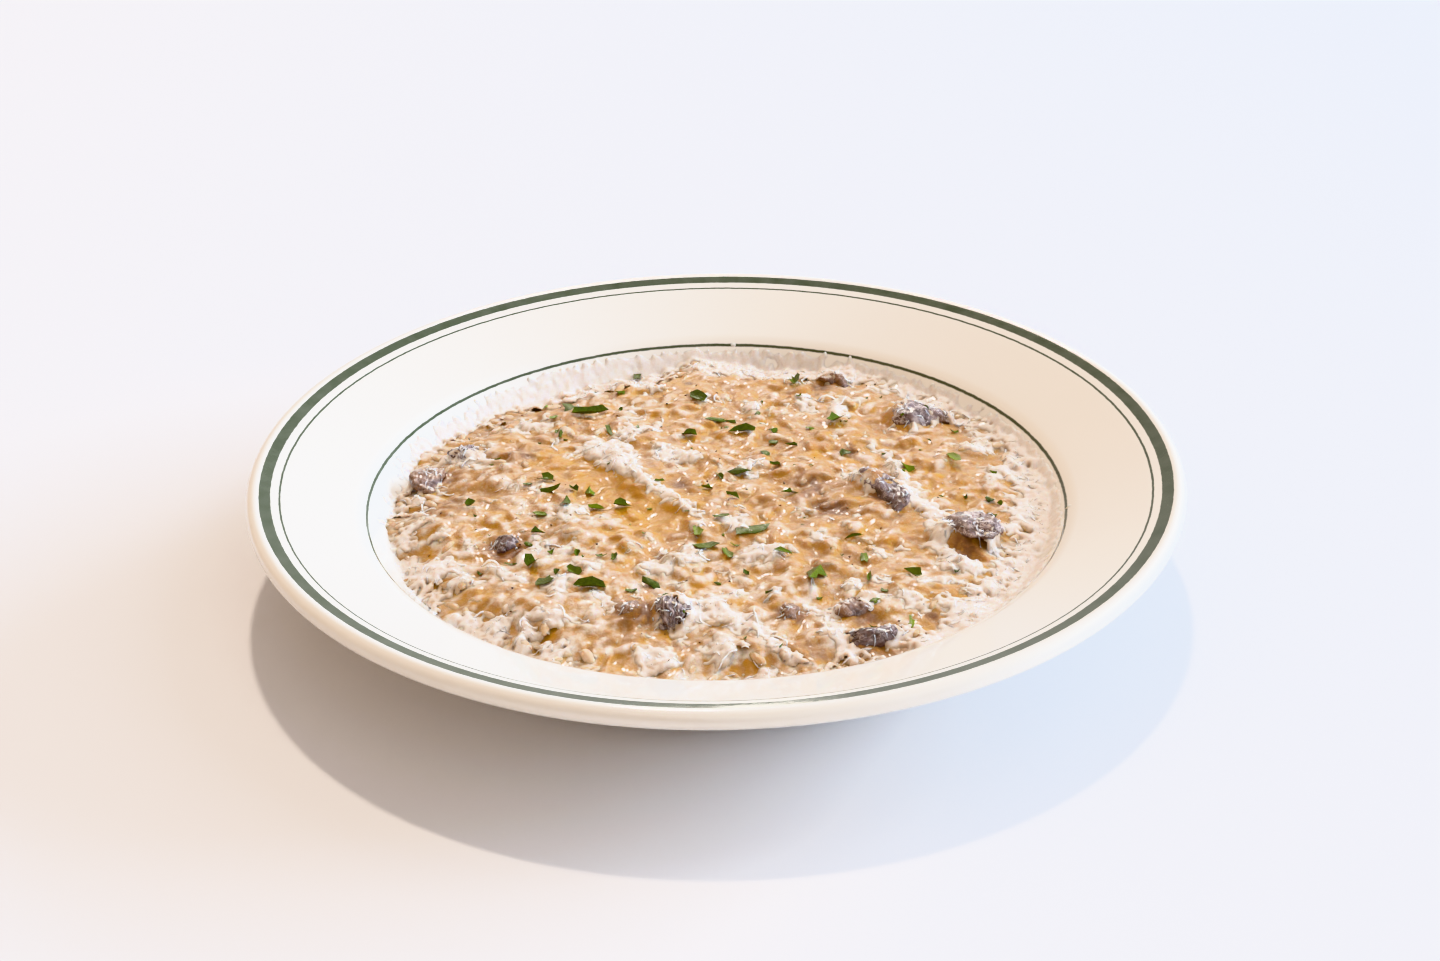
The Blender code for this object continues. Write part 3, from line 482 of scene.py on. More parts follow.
def rice_paint():
    """Return cooked rice. Its mesh carries how golden and cheesy each grain is, and its stain with painted
    shade.
    """
    paint = Paint("cooked_rice")
    gold, cheesy, stain_and_shade_share = paint.tint()
    colour = paint.mix(gold, GRAIN_PALE, GRAIN_GOLD)
    colour = paint.mix(paint.rise(paint.noise(3.0, 3.0), 0.4, 0.7, 0.0, 0.5), colour, CREAM_TAN)
    dust = paint.rise(paint.noise(0.8, 4.0, 2.0, 0.7), 0.45, 0.66)
    colour = paint.mix(paint.times(cheesy, dust), colour, CREAM_WHITE)
    colour = paint.mix(paint.times(stain_and_shade_share, 0.8), colour, CREAM_STAIN_AND_SHADE)
    paint.set(Base_Color=colour, Coat_Weight=0.4, Coat_Roughness=0.1, IOR=1.42)
    paint.rough(1.3, 0.2, 0.42)
    soft_inside(paint, 0.7, 2.4)
    paint.bump(paint.noise(1.2, 3.0, 9.0), 0.16)
    return paint.material


def cheese_paint():
    """Return grated cheese, from dry and white to half melted. Its mesh carries which."""
    paint = Paint("grated_cheese")
    melted, low, gold = paint.tint()
    colour = paint.mix(melted, CHEESE_WHITE, CHEESE_CREAM)
    colour = paint.mix(paint.rise(paint.noise(0.8, 4.0), 0.35, 0.75, 0.0, 0.4), colour, CREAM_WHITE)
    sauce = paint.mix(0.45, paint.mix(gold, CREAM_TAN, CREAM_GOLD), CREAM_WHITE)
    colour = paint.mix(paint.times(low, 0.9), colour, sauce)
    paint.set(Base_Color=colour, IOR=1.45)
    paint.rough(0.7, 0.35, 0.6)
    soft_inside(paint, 0.85, 3.0, (1.0, 0.72, 0.5))
    paint.bump(paint.noise(0.4, 4.0, 9.0, 0.7), 0.12)
    return paint.material


def parsley_paint():
    """Return chopped parsley. Its mesh carries how bright each leaf is."""
    paint = Paint("chopped_parsley")
    bright, vein, _ = paint.tint()
    mottle = paint.rise(paint.noise(1.1, 4.0), 0.3, 0.7, 0.0, 0.25)
    colour = paint.mix(paint.math("ADD", bright, mottle), LEAF_DARK, LEAF_BRIGHT)
    colour = paint.mix(paint.times(vein, 0.2), colour, LEAF_BRIGHT)
    paint.set(Base_Color=colour, Specular_IOR_Level=0.35)
    paint.rough(0.8, 0.3, 0.55)
    paint.bump(paint.noise(0.5, 3.0, 9.0), 0.15)
    return paint.material


def mushroom_paint(name, dust, tan, streaks):
    """Return cooked mushroom under a share of fine cheese, as tan and with ridges as pale as given, with
    painted shade in its grooves.
    """
    paint = Paint(name)
    folds, _, _ = paint.tint()
    colour = paint.mix(paint.rise(paint.noise(3.0, 5.0), 0.35, 0.65), MUSHROOM_DARK, MUSHROOM_GREY)
    tan_share = paint.rise(paint.noise(4.5, 4.0, 2.0), 0.62 - 0.4 * tan, 0.85 - 0.4 * tan)
    colour = paint.mix(tan_share, colour, MUSHROOM_TAN)
    # Painted shade: the grooves are painted darker.
    colour = paint.mix(paint.times(folds, 0.75), colour, MUSHROOM_DARK)
    colour = paint.mix(paint.rise(folds, 0.0, 0.45, streaks, 0.0), colour, MUSHROOM_DUST)
    up = paint.node("SeparateXYZ", {0: paint.node("NewGeometry", output="Normal")}, output=2)
    specks = paint.rise(paint.noise(2.4, 4.0, 4.0, 0.55), 0.66 - 0.24 * dust, 0.98 - 0.22 * dust)
    threads = paint.times(paint.threads(3.2, 0.022, 5.0), 0.15 + 0.6 * dust)
    film = paint.times(paint.math("MAXIMUM", specks, threads), paint.rise(up, -0.2, 0.5))
    colour = paint.mix(film, colour, MUSHROOM_DUST)
    paint.set(Base_Color=colour, Coat_Weight=0.6, Coat_Roughness=0.1, IOR=1.42)
    paint.rough(1.2, 0.22, 0.45)
    soft_inside(paint, 0.15, 1.2)
    paint.bump(paint.noise(2.0, 4.0, 9.0, 0.5), 0.4)
    return paint.material


def speck_paint():
    """Return the dark bits of mushroom skin and pepper."""
    paint = Paint("dark_specks")
    colour = paint.mix(paint.noise(2.0, 2.0), MUSHROOM_DARK, SPECK_BROWN)
    paint.set(Base_Color=colour, Roughness=0.45)
    paint.bump(paint.noise(0.3), 0.08)
    return paint.material


def table_paint():
    """Return the plain pale floor."""
    paint = Paint("pale_floor")
    colour = paint.mix(paint.noise(60.0), TABLE_GREY, TABLE_PALE)
    paint.set(Base_Color=colour, Roughness=0.8, Specular_IOR_Level=0.1)
    return paint.material


# ==== pieces

def add_tint(mesh, tint):
    """Give each point of a mesh its three numbers."""
    layer = mesh.color_attributes.new("tint", "FLOAT_COLOR", "POINT")
    values = np.ones((len(mesh.vertices), 4))
    values[:, :3] = tint
    layer.data.foreach_set("color", values.ravel())


def new_piece(name, verts, faces, material, nodes=(), tint=None):
    """Make a smooth piece of the object from places in millimetres and faces of one kind."""
    faces = np.asarray(faces)
    mesh = bpy.data.meshes.new(name)
    mesh.vertices.add(len(verts))
    mesh.vertices.foreach_set("co", (np.asarray(verts) * MM).ravel())
    mesh.loops.add(faces.size)
    mesh.loops.foreach_set("vertex_index", faces.ravel())
    mesh.polygons.add(len(faces))
    mesh.polygons.foreach_set("loop_start", np.arange(0, faces.size, faces.shape[1]))
    mesh.update(calc_edges=True)
    mesh.validate()
    mesh.shade_smooth()
    if tint is not None:
        add_tint(mesh, tint)
    mesh.materials.append(material)
    return declare(in_scene(name, mesh), nodes)


def in_scene(name, data):
    """Put a new object with that data in the scene."""
    thing = bpy.data.objects.new(name, data)
    bpy.context.scene.collection.objects.link(thing)
    return thing


def declare(piece, nodes=()):
    """Say that a piece moves with the part's one body, and which CAD nodes it replaces."""
    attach(piece, "root")
    if nodes:
        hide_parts(*nodes)
    return piece


class Swarm:
    """Small shapes of triangles that are joined into one piece, each with its own tint."""

    def __init__(self):
        self.verts = []
        self.faces = []
        self.tints = []
        self.count = 0

    def add(self, verts, faces, tint):
        """Add one shape."""
        self.verts.append(verts)
        self.faces.append(faces + self.count)
        self.tints.append(np.broadcast_to(tint, (len(verts), 3)))
        self.count += len(verts)

    def piece(self, name, material, slot):
        """Join the shapes."""
        verts, faces, tints = (np.concatenate(part) for part in (self.verts, self.faces, self.tints))
        return new_piece(name, verts, faces, material, tint=tints)


# ==== the bowl

def line_crossing(first, second):
    """Return where two lines of (point, slope angle) cross, in the profile's plane."""
    (r1, z1), a1 = first
    (r2, z2), a2 = second
    r = (z2 - z1 + r1 * math.tan(a1) - r2 * math.tan(a2)) / (math.tan(a1) - math.tan(a2))
    return r, z1 + (r - r1) * math.tan(a1)


def line_under(point, angle):
    """Return the line one wall's thickness under the line through point."""
    r, z = point
    return (r + WALL * math.sin(angle), z - WALL * math.cos(angle)), angle


def bend(before, corner, after, radius, steps):
    """Return the points of a fillet at a corner of the profile."""
    before, corner, after = Vector(before), Vector(corner), Vector(after)
    back = (before - corner).normalized()
    ahead = (after - corner).normalized()
    half = back.angle(ahead) / 2
    centre = corner + (back + ahead).normalized() * radius / math.sin(half)
    start = corner + back * radius / math.tan(half) - centre
    end = corner + ahead * radius / math.tan(half) - centre
    spokes = [start.slerp(end, i / steps).normalized() for i in range(steps + 1)]
    return [tuple(centre + spoke * radius) for spoke in spokes]


def even(points, step):
    """Return the profile with points added so that none are further apart than step."""
    result = [points[0]]
    for start, end in zip(points, points[1:]):
        parts = max(1, math.ceil(math.dist(start, end) / step))
        result += [tuple(Vector(start).lerp(Vector(end), i / parts)) for i in range(1, parts + 1)]
    return result


def well_profile():
    """Return the upper face's (r, z) points from the middle of the floor to the rim."""
    middle = (0.0, WELL_FLOOR)
    wall = (WELL_POINT, WELL_SLOPE)
    rim = (RIM_POINT, RIM_SLOPE)
    floor_corner = line_crossing((middle, 0.0), wall)
    shoulder = line_crossing(wall, rim)
    return ([middle]
            + bend(middle, floor_corner, shoulder, WELL_BEND, 12)
            + bend(floor_corner, shoulder, RIM_POINT, SHOULDER_BEND, 8)
            + [RIM_POINT])


def lip_profile():
    """Return the rolled edge, from the rim's upper face round to its underside."""
    centre_r = RIM_RADIUS - LIP_ROLL
    centre_z = RIM_TOP - LIP_ROLL
    angles = np.radians(np.linspace(116, -90, 20))
    return [(centre_r + LIP_ROLL * math.cos(a), centre_z + LIP_ROLL * math.sin(a)) for a in angles]


def underside_profile():
    """Return the lower face's points, from the rolled edge to the middle, round the foot."""
    rim = line_under(RIM_POINT, RIM_SLOPE)
    wall = line_under(WELL_POINT, WELL_SLOPE)
    shoulder = line_crossing(rim, wall)
    floor_corner = line_crossing(wall, ((0.0, UNDERSIDE), 0.0))
    foot_top = (FOOT_OUTER, UNDERSIDE)
    foot = [foot_top, (FOOT_OUTER - FOOT_TAPER, 0.0), (FOOT_INNER + FOOT_TAPER, 0.0),
            (FOOT_INNER, UNDERSIDE), (0.0, UNDERSIDE)]
    return (bend(rim[0], shoulder, floor_corner, SHOULDER_BEND - WALL, 5)
            + bend(shoulder, floor_corner, foot_top, WELL_BEND / 2, 8) + foot)


def make_bowl():
    """Turn the fine profile round the bowl's axis."""
    top = even(well_profile() + lip_profile(), 6.0)
    profile = top + even(underside_profile(), 8.0)
    mesh = bmesh.new()
    turns = [math.tau * i / BOWL_SIDES for i in range(BOWL_SIDES)]
    rings = []
    for r, z in profile:
        if r == 0.0:
            rings.append([mesh.verts.new((0.0, 0.0, z * MM))] * BOWL_SIDES)
            continue
        ring = [(r * MM * math.cos(turn), r * MM * math.sin(turn), z * MM) for turn in turns]
        rings.append([mesh.verts.new(place) for place in ring])
    for k, (inner, outer) in enumerate(zip(rings, rings[1:])):
        for i in range(BOWL_SIDES):
            j = (i + 1) % BOWL_SIDES
            face = mesh.faces.new(list(dict.fromkeys((inner[i], inner[j], outer[j], outer[i]))))
            face.material_index = int(k >= len(top) - 1)
            face.smooth = True
    bmesh.ops.recalc_face_normals(mesh, faces=mesh.faces)
    data = bpy.data.meshes.new("porcelain_bowl")
    mesh.to_mesh(data)
    mesh.free()
    data.set_sharp_from_angle(angle=math.radians(40))
    data.materials.append(glaze_paint("ringed_glaze", True))
    data.materials.append(glaze_paint("plain_glaze", False))
    declare(in_scene("porcelain_bowl", data), ["bowl"])


# ==== grids over the food

def grid(pitch):
    """Return the x and y of a square grid over the food."""
    axis = np.arange(-FIELD_REACH, FIELD_REACH + pitch / 2, pitch)
    return np.meshgrid(axis, axis, indexing="ij")


def between(values, i, j, s, t):
    """Return the values at shares s and t of the way from the grid's points i and j to the next."""
    near = values[i, j] * (1 - t) + values[i, j + 1] * t
    far = values[i + 1, j] * (1 - t) + values[i + 1, j + 1] * t
    return near * (1 - s) + far * s


def read(values, x, y):
    """Return a square grid's values at arrays of places, straight between its points."""
    pitch = 2 * FIELD_REACH / (len(values) - 1)
    u = np.clip((np.asarray(x) + FIELD_REACH) / pitch, 0, len(values) - 1.001)
    v = np.clip((np.asarray(y) + FIELD_REACH) / pitch, 0, len(values) - 1.001)
    i, j = u.astype(int), v.astype(int)
    s, t = u - i, v - j
    return between(values, i, j, s, t)


def at(values, x, y):
    """Return a square grid's value at one place."""
    return float(read(values, x, y))


def blurred(values, sigma):
    """Return a grid smoothed by a bell curve of that width in steps."""
    reach = int(3 * sigma) + 1
    bell = np.exp(-0.5 * (np.arange(-reach, reach + 1) / sigma) ** 2)
    bell /= bell.sum()
    for axis in (0, 1):
        values = np.apply_along_axis(np.convolve, axis, values, bell, mode="same")
    return values


def random_waves(rng, x, y, wavelength, octaves=1):
    """Return smooth random heights from about -1 to 1 at arrays of places."""
    total = np.zeros_like(x)
    for octave in range(octaves):
        step = wavelength / 2 ** octave
        lattice = rng.uniform(-1, 1, (int(2 * FIELD_REACH / step) + 3,) * 2)
        u, v = (x + FIELD_REACH) / step, (y + FIELD_REACH) / step
        i, j = u.astype(int), v.astype(int)
        s, t = u - i, v - j
        s, t = s * s * (3 - 2 * s), t * t * (3 - 2 * t)
        total += between(lattice, i, j, s, t) / 2 ** octave
    return total


def soft_step(values, low, high):
    """Return a smooth step from 0 at low to 1 at high."""
    share = np.clip((values - low) / (high - low), 0, 1)
    return share * share * (3 - 2 * share)


def spots(x, y, places, spread=1.0):
    """Return the sum of soft spots at arrays of places, their radii times the spread."""
    total = np.zeros_like(x)
    for spot_x, spot_y, radius, amount in places:
        total += amount * np.exp(-((x - spot_x) ** 2 + (y - spot_y) ** 2) / (spread * radius) ** 2)
    return total


def path_distance(x, y, path):
    """Return the distance from arrays of places to a path."""
    nearest = np.full_like(x, np.inf)
    for (x1, y1), (x2, y2) in zip(path, path[1:]):
        length = (x2 - x1) ** 2 + (y2 - y1) ** 2
        share = np.clip(((x - x1) * (x2 - x1) + (y - y1) * (y2 - y1)) / length, 0, 1)
        nearest = np.minimum(nearest, np.hypot(x - x1 - share * (x2 - x1), y - y1 - share * (y2 - y1)))
    return nearest


def soft_max(first, second, blend):
    """Return the larger of two heights, rounded where they meet."""
    share = np.clip(0.5 + 0.5 * (first - second) / blend, 0, 1)
    return second * (1 - share) + first * share + blend * share * (1 - share)


def smooth_noise(x, y, layer):
    """Return a smooth number from -1 to 1 that belongs to that place and layer."""
    return noise.noise(Vector((x, y, 7.3 * layer)))


def heap_radius(turn):
    """Return how far out the heap reaches in that direction, as in the solid."""
    x, y = math.cos(turn), math.sin(turn)
    long_wave = smooth_noise(3.2 * x, 3.2 * y, 1)
    short_wave = smooth_noise(11 * x, 11 * y, 2)
    grains = smooth_noise(34 * x, 34 * y, 3)
    uneven = HEAP_RADIUS_VARIES * (0.9 * long_wave + 0.5 * short_wave + 0.35 * grains)
    return HEAP_RADIUS + HEAP_LEANS_RIGHT * x + uneven


def reach_towards(x, y):
    """Return the heap's radius in the direction of arrays of places."""
    turns = np.linspace(-math.pi, math.pi, 721)
    radii = [heap_radius(turn) for turn in turns]
    return np.interp(np.arctan2(y, x), turns, radii)


def node_tree(names):
    """Return a tree that finds where a ray hits those CAD nodes, in millimetres."""
    mesh = bmesh.new()
    for name in names:
        mesh.from_mesh(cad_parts[name].data)
    bmesh.ops.scale(mesh, vec=(1 / MM, 1 / MM, 1 / MM), verts=mesh.verts)
    tree = BVHTree.FromBMesh(mesh)
    mesh.free()
    return tree


def scanned(tree, x, y):
    """Return the heights where rays from above hit a tree, or -inf."""
    heights = np.full(x.shape, -np.inf)
    for index in np.ndindex(x.shape):
        hit = tree.ray_cast(Vector((x[index], y[index], 100.0)), Vector((0, 0, -1)))[0]
        if hit:
            heights[index] = hit.z
    return heights


class Food:
    """Grids of the food's heights, of how golden and cheesy it is, and of its stains with painted shade."""

    def __init__(self):
        self.mushrooms = sorted(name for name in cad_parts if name.startswith("mushroom"))
        self.x, self.y = grid(FIELD_PITCH)
        self.inside = reach_towards(self.x, self.y) - np.hypot(self.x, self.y)
        self.scan()
        self.amounts()
        self.sauce = self.level - SAUCE_DOWN
        rng = np.random.default_rng(SEED)
        self.sauce = self.sauce + 0.8 * random_waves(rng, self.x, self.y, 10.0, 3) * (1 - 0.7 * self.scoop)
        self.limits()
        self.sauce = np.minimum(self.sauce, self.edge)
        self.ragged = random_waves(rng, self.x, self.y, 2.6, 2)
        self.fluff = random_waves(rng, self.x, self.y, 1.5, 1)
        halo = blurred(self.cheese, 5.0)
        mottle = 0.25 * random_waves(rng, self.x, self.y, 4.0, 3)
        self.white = 0.24 + mottle + 0.5 * np.minimum(self.cheese, 1.0) + 0.5 * np.minimum(halo, 1.0)
        self.white += self.white_from_gold_and_painted_light
        self.tops = self.sauce.copy()

    def limits(self):
        """Work out the porcelain's height, and how high the sauce stands near its own edge."""
        profile = np.array(even(well_profile(), 2.0))
        self.well = np.interp(np.hypot(self.x, self.y), profile[:, 0], profile[:, 1])
        inside = np.clip(self.inside, 0, None)
        self.edge = self.well - 0.3 + 1.1 * (1 - np.exp(-inside)) + 0.8 * inside
        self.calm = np.maximum(self.scoop, 0.75 * np.exp(-inside / 7))

    def scan(self):
        """Read the CAD heap's mean height, across its grains and the mushrooms' pockets."""
        x, y = grid(SCAN_PITCH)
        heap = scanned(node_tree(["risotto"]), x, y)
        covered = np.isfinite(scanned(node_tree(self.mushrooms), x, y)).astype(float)
        known = np.isfinite(heap) & (blurred(covered, 0.6) < 0.02)
        weight = blurred(known.astype(float), SCAN_BLUR)
        wide = blurred(known.astype(float), 4 * SCAN_BLUR)
        total = np.where(known, heap, 0.0)
        near = blurred(total, SCAN_BLUR) / np.maximum(weight, 1e-6)
        far = blurred(total, 4 * SCAN_BLUR) / np.maximum(wide, 1e-6)
        level = np.where(weight > 0.15, near, far)
        self.level = read(blurred(level, 0.7), self.x, self.y)
        fine = scanned(node_tree(self.mushrooms), *grid(1.0))
        self.caps = read(np.where(np.isfinite(fine), fine, 0.0), self.x, self.y)

    def amounts(self):
        """Work out how golden and cheesy the food is at each place, its stains with painted shade, and the
        painted light on its front and left.
        """
        x, y = self.x, self.y
        rng = np.random.default_rng(SEED + 1)
        radius = np.hypot(x, y)
        edge = soft_step(radius, 84, 101)
        sides = 0.42 + 0.25 * soft_step(x, 20, 90) + 0.25 * soft_step(y, 40, 95)
        cheese_spots = all_spots(CHEESE_SEEN, CHEESE_PLACED)
        gold_spots = all_spots(GOLD_SEEN)
        stain_and_shade_spots = all_spots(STAIN_AND_SHADE_SEEN, STAIN_AND_SHADE_PLACED)
        cheese = 0.22 + 0.95 * spots(x, y, cheese_spots, 1.3) + edge * sides
        for path, width, amount in CHEESE_PATHS:
            cheese += amount * np.exp(-(path_distance(x, y, path) / width) ** 2)
        golden = spots(x, y, gold_spots)
        stain_and_shade_share = spots(x, y, stain_and_shade_spots)
        cheese -= 0.8 * stain_and_shade_share + 0.35 * golden
        near = blurred((self.caps > 1).astype(float), 3.0)
        cheese += 1.8 * near * (1 - near)
        patches = random_waves(rng, x, y, 4.0, 3)
        clumps = soft_step(patches + 1.1 * (cheese - 0.6), -0.2, 0.7)
        self.scoop = np.exp(-(path_distance(x, y, SCOOP) / SCOOP_WIDTH) ** 2)
        self.cheese = np.clip(clumps * (0.45 + 0.6 * cheese), 0.0, 1.5) * (1 - 0.85 * self.scoop)
        # Painted light: the heap's front and left are painted more golden and whiter, as if lit there.
        self.painted_light_front_left = soft_step(-x - 1.2 * y, -20, 90)
        gold = 0.2 * self.painted_light_front_left + 0.5 * spots(x, y, gold_spots, 1.2) + 0.2 * random_waves(rng, x, y, 9.0, 3)
        self.gold = np.clip(gold, 0, 1)
        stain_and_shade = 1.6 * stain_and_shade_share * (0.8 + 0.6 * random_waves(rng, x, y, 6.0, 2))
        self.stain_and_shade = np.clip(stain_and_shade + 0.12 * random_waves(rng, x, y, 16.0, 2), 0, 1)
        self.white_from_gold_and_painted_light = 0.24 * self.painted_light_front_left - 0.3 * golden

    def stamp(self, place, turn, half, top, coated, white, gold, ragged=0.0):
        """Raise the sauce over a grain or lump with its top at that height, and colour it there."""
        reach = half[0] + 1.2
        low = [int((c - reach + FIELD_REACH) / FIELD_PITCH) for c in place]
        high = [int((c + reach + FIELD_REACH) / FIELD_PITCH) + 2 for c in place]
        window = (slice(max(low[0], 0), high[0]), slice(max(low[1], 0), high[1]))
        dx, dy = self.x[window] - place[0], self.y[window] - place[1]
        along = dx * math.cos(turn) + dy * math.sin(turn)
        across = dy * math.cos(turn) - dx * math.sin(turn)
        grow = 0.35
        share = (along / (half[0] + grow)) ** 2 + (across / (half[1] + grow)) ** 2
        share = share * (1 + ragged * self.ragged[window])
        dome = top - GRAIN_DEPTH / 2 * np.minimum(share, 1.0) ** 1.5
        dome = np.where(share < 1, dome, -99.0)
        self.tops[window] = np.maximum(self.tops[window], dome)
        wins = np.clip((dome - coated - self.sauce[window]) / 0.5 + 0.4, 0, 1)
        self.white[window] += (white - self.white[window]) * wins
        self.gold[window] += (gold - self.gold[window]) * wins
        self.sauce[window] = soft_max(self.sauce[window], dome - coated, 1.0)

    def skirts(self):
        """Return the slopes of sauce that run up to the pieces of mushroom."""
        waves = random_waves(np.random.default_rng(SEED + 2), self.x, self.y, 6.0, 2)
        bare = 0.5 + 1.2 * waves + 5.0 * spots(self.x, self.y, BARE_SPOTS)
        skirt = np.where(self.caps > 1.0, self.caps - bare, -99.0)
        for _ in range(SKIRT_STEPS):
            for axis in (0, 1):
                beside = np.maximum(np.roll(skirt, 1, axis), np.roll(skirt, -1, axis))
                skirt = np.maximum(skirt, beside - SKIRT_SLOPE * FIELD_PITCH)
        return blurred(np.maximum(skirt, self.sauce - 6.0), 2.2)

    def finish(self):
        """Bring the sauce down to the porcelain at its edge."""
        self.white = blurred(self.white, 1.6)
        self.gold = blurred(self.gold, 1.2)
        uneven = 0.2 * self.white * self.fluff + 0.1 * self.ragged
        even_edge = soft_step(self.calm - self.scoop, 0.1, 0.7)
        self.sauce = blurred(self.sauce, 0.9) * (1 - even_edge) + blurred(self.sauce, 2.5) * even_edge
        self.sauce = self.sauce + uneven * (1 - 0.8 * self.scoop)
        self.sauce = soft_max(self.sauce, self.skirts() + uneven + 0.25 * self.ragged, 0.8)
        # Painted shade and light: the sauce's valleys are painted more golden, browner and less white, and
        # its crests whiter.
        valley_shade = np.clip((blurred(self.sauce, 4.0) - self.sauce) / 0.5, -1, 1)
        self.gold = self.gold + 0.2 * valley_shade
        self.gold = self.gold + 0.9 * self.scoop
        self.stain_and_shade = self.stain_and_shade * (1 + 0.4 * valley_shade) + 0.05 * np.maximum(valley_shade, 0) * (1 - self.scoop)
        self.white = (self.white - 0.18 * valley_shade + 0.12 * self.ragged) * (1 - 0.9 * self.scoop)
        self.white -= 0.7 * np.clip(self.stain_and_shade, 0, 1)
        self.sauce = np.minimum(self.sauce, self.edge)
        self.sauce = np.maximum(self.sauce, self.well - 0.3)
        self.tops = np.maximum(np.maximum(self.tops, self.sauce), self.caps)
        self.tops = np.where(self.inside > 0, self.tops, self.well)


# ==== sauce and rice

def disc_places(count):
    """Return count by count places spread evenly over a disc of radius 1."""
    axis = np.linspace(-1, 1, count)
    u, v = np.meshgrid(axis, axis, indexing="ij")
    wide = np.abs(u) >= np.abs(v)
    ray = np.where(wide, u, v)
    safe = np.where(ray == 0, 1.0, ray)
    turn = np.where(wide, math.pi / 4 * v / safe, math.pi / 2 - math.pi / 4 * u / safe)
    return ray * np.cos(turn), ray * np.sin(turn)


def squares(count):
    """Return the faces of a surface of count by count points."""
    index = np.arange(count * count).reshape(count, count)
    corners = [index[:-1, :-1], index[1:, :-1], index[1:, 1:], index[:-1, 1:]]
    return np.stack(corners, axis=-1).reshape(-1, 4)


def make_sauce(food):
    """Make the food's creamy surface, out to the heap's uneven outline."""
    count = FIELD_QUADS + 1
    x, y = disc_places(count)
    reach = reach_towards(x, y)
    x, y = x * reach, y * reach
    verts = np.stack([x, y, read(food.sauce, x, y)], axis=-1).reshape(-1, 3)
    tint = np.stack([read(amount, x, y) for amount in (food.gold, food.white, food.stain_and_shade)], axis=-1)
    tint = np.clip(tint, 0, 1).reshape(-1, 3)
    new_piece("creamy_sauce", verts, squares(count), cream_paint(), ["risotto"], tint)


def grain_shape(rng, rings=6, sides=8):
    """Return the points and triangles of one grain, 2 long and about 2 wide and deep."""
    verts = [(-1.0, 0.0, 0.0)]
    blunt = rng.uniform(0.38, 0.46)
    taper = rng.uniform(-0.2, 0.2)
    bow = rng.uniform(-0.22, 0.22)
    for ring in range(rings):
        along = -math.cos(math.pi * (ring + 0.8) / (rings + 0.6))
        girth = (1 - along * along) ** blunt * (1 + taper * along)
        for side in range(sides):
            turn = math.tau * side / sides
            size = girth * (1 + rng.uniform(-0.07, 0.07))
            verts.append((along, math.cos(turn) * size + bow * (1 - along * along), math.sin(turn) * size))
    verts.append((1.0, 0.0, 0.0))
    faces = []
    last = len(verts) - 1
    for side in range(sides):
        after = (side + 1) % sides
        faces.append((0, 1 + after, 1 + side))
        faces.append((last, last - sides + side, last - sides + after))
        for ring in range(rings - 1):
            a, b = 1 + ring * sides + side, 1 + ring * sides + after
            faces.append((a, b, b + sides))
            faces.append((a, b + sides, a + sides))
    return np.array(verts), np.array(faces)


def slope_turn(values, x, y, turn, reach=2.0):
    """Return how a small thing must pitch and roll to lie on a grid of heights at that turn."""
    dx, dy = math.cos(turn) * reach, math.sin(turn) * reach
    pitch = math.atan2(at(values, x + dx, y + dy) - at(values, x - dx, y - dy), 2 * reach)
    roll = math.atan2(at(values, x - dy, y + dx) - at(values, x + dy, y - dx), 2 * reach)
    return pitch, roll


def lay_matrix(turn, pitch, roll):
    """Return the 3 by 3 turn of a small thing that lies on the food."""
    matrix = Matrix.Rotation(turn, 3, "Z") @ Matrix.Rotation(-pitch, 3, "Y") @ Matrix.Rotation(roll, 3, "X")
    return np.array(matrix)


def random_place(rng, margin):
    """Return a random place on the heap, at least margin inside its edge."""
    while True:
        x, y = rng.uniform(-PLACE_REACH, PLACE_REACH), rng.uniform(-PLACE_REACH, PLACE_REACH)
        if math.hypot(x, y) < heap_radius(math.atan2(y, x)) - margin:
            return x, y


def random_grain(rng, margin):
    """Return a random grain's place, turn, and half its length and width."""
    place = random_place(rng, margin)
    turn = rng.uniform(0, math.pi)
    return place, turn, (rng.uniform(*GRAIN_LENGTH) / 2, rng.uniform(*GRAIN_WIDTH) / 2)


def coat_colours(rng, food, place):
    """Return how white and how golden the sauce is over one grain."""
    cheesy = min(at(food.cheese, *place), 1.0)
    white = rng.uniform(0.35, 0.8) if rng.random() < 0.4 + 0.4 * cheesy else rng.uniform(0.05, 0.35)
    # Painted light: grains on the heap's front and left are painted whiter.
    white += 0.22 * at(food.painted_light_front_left, *place)
    gold = at(food.gold, *place) + rng.uniform(-0.35, 0.35)
    return white, gold


def lay_mounds(rng, food):
    """Raise soft ragged lumps of half-melted cheese out of the sauce."""
    ground = food.sauce.copy()
    for _ in range(CHEESE_MOUNDS):
        place = cheesy_place(rng, food)
        length = MOUND_LENGTH[0] + (MOUND_LENGTH[1] - MOUND_LENGTH[0]) * rng.random() ** 1.6
        half = length / 2, length / 2 * rng.uniform(0.5, 0.9)
        top = at(ground, *place) + rng.uniform(0.25, 0.9) * (1 - 0.8 * at(food.calm, *place))
        food.stamp(place, rng.uniform(0, math.pi), half, top, 0.0, rng.uniform(0.8, 1.0), 0.3, 0.5)


def sink_grains(rng, food):
    """Raise the sauce over the grains that it covers wholly."""
    for _ in range(SUNK_GRAINS):
        place, turn, half = random_grain(rng, 1.5)
        calm = at(food.calm, *place)
        top = at(food.sauce, *place) + rng.uniform(0.05, 0.6) * (1 - 0.8 * calm)
        food.stamp(place, turn, half, top, 0.0, *coat_colours(rng, food, place))


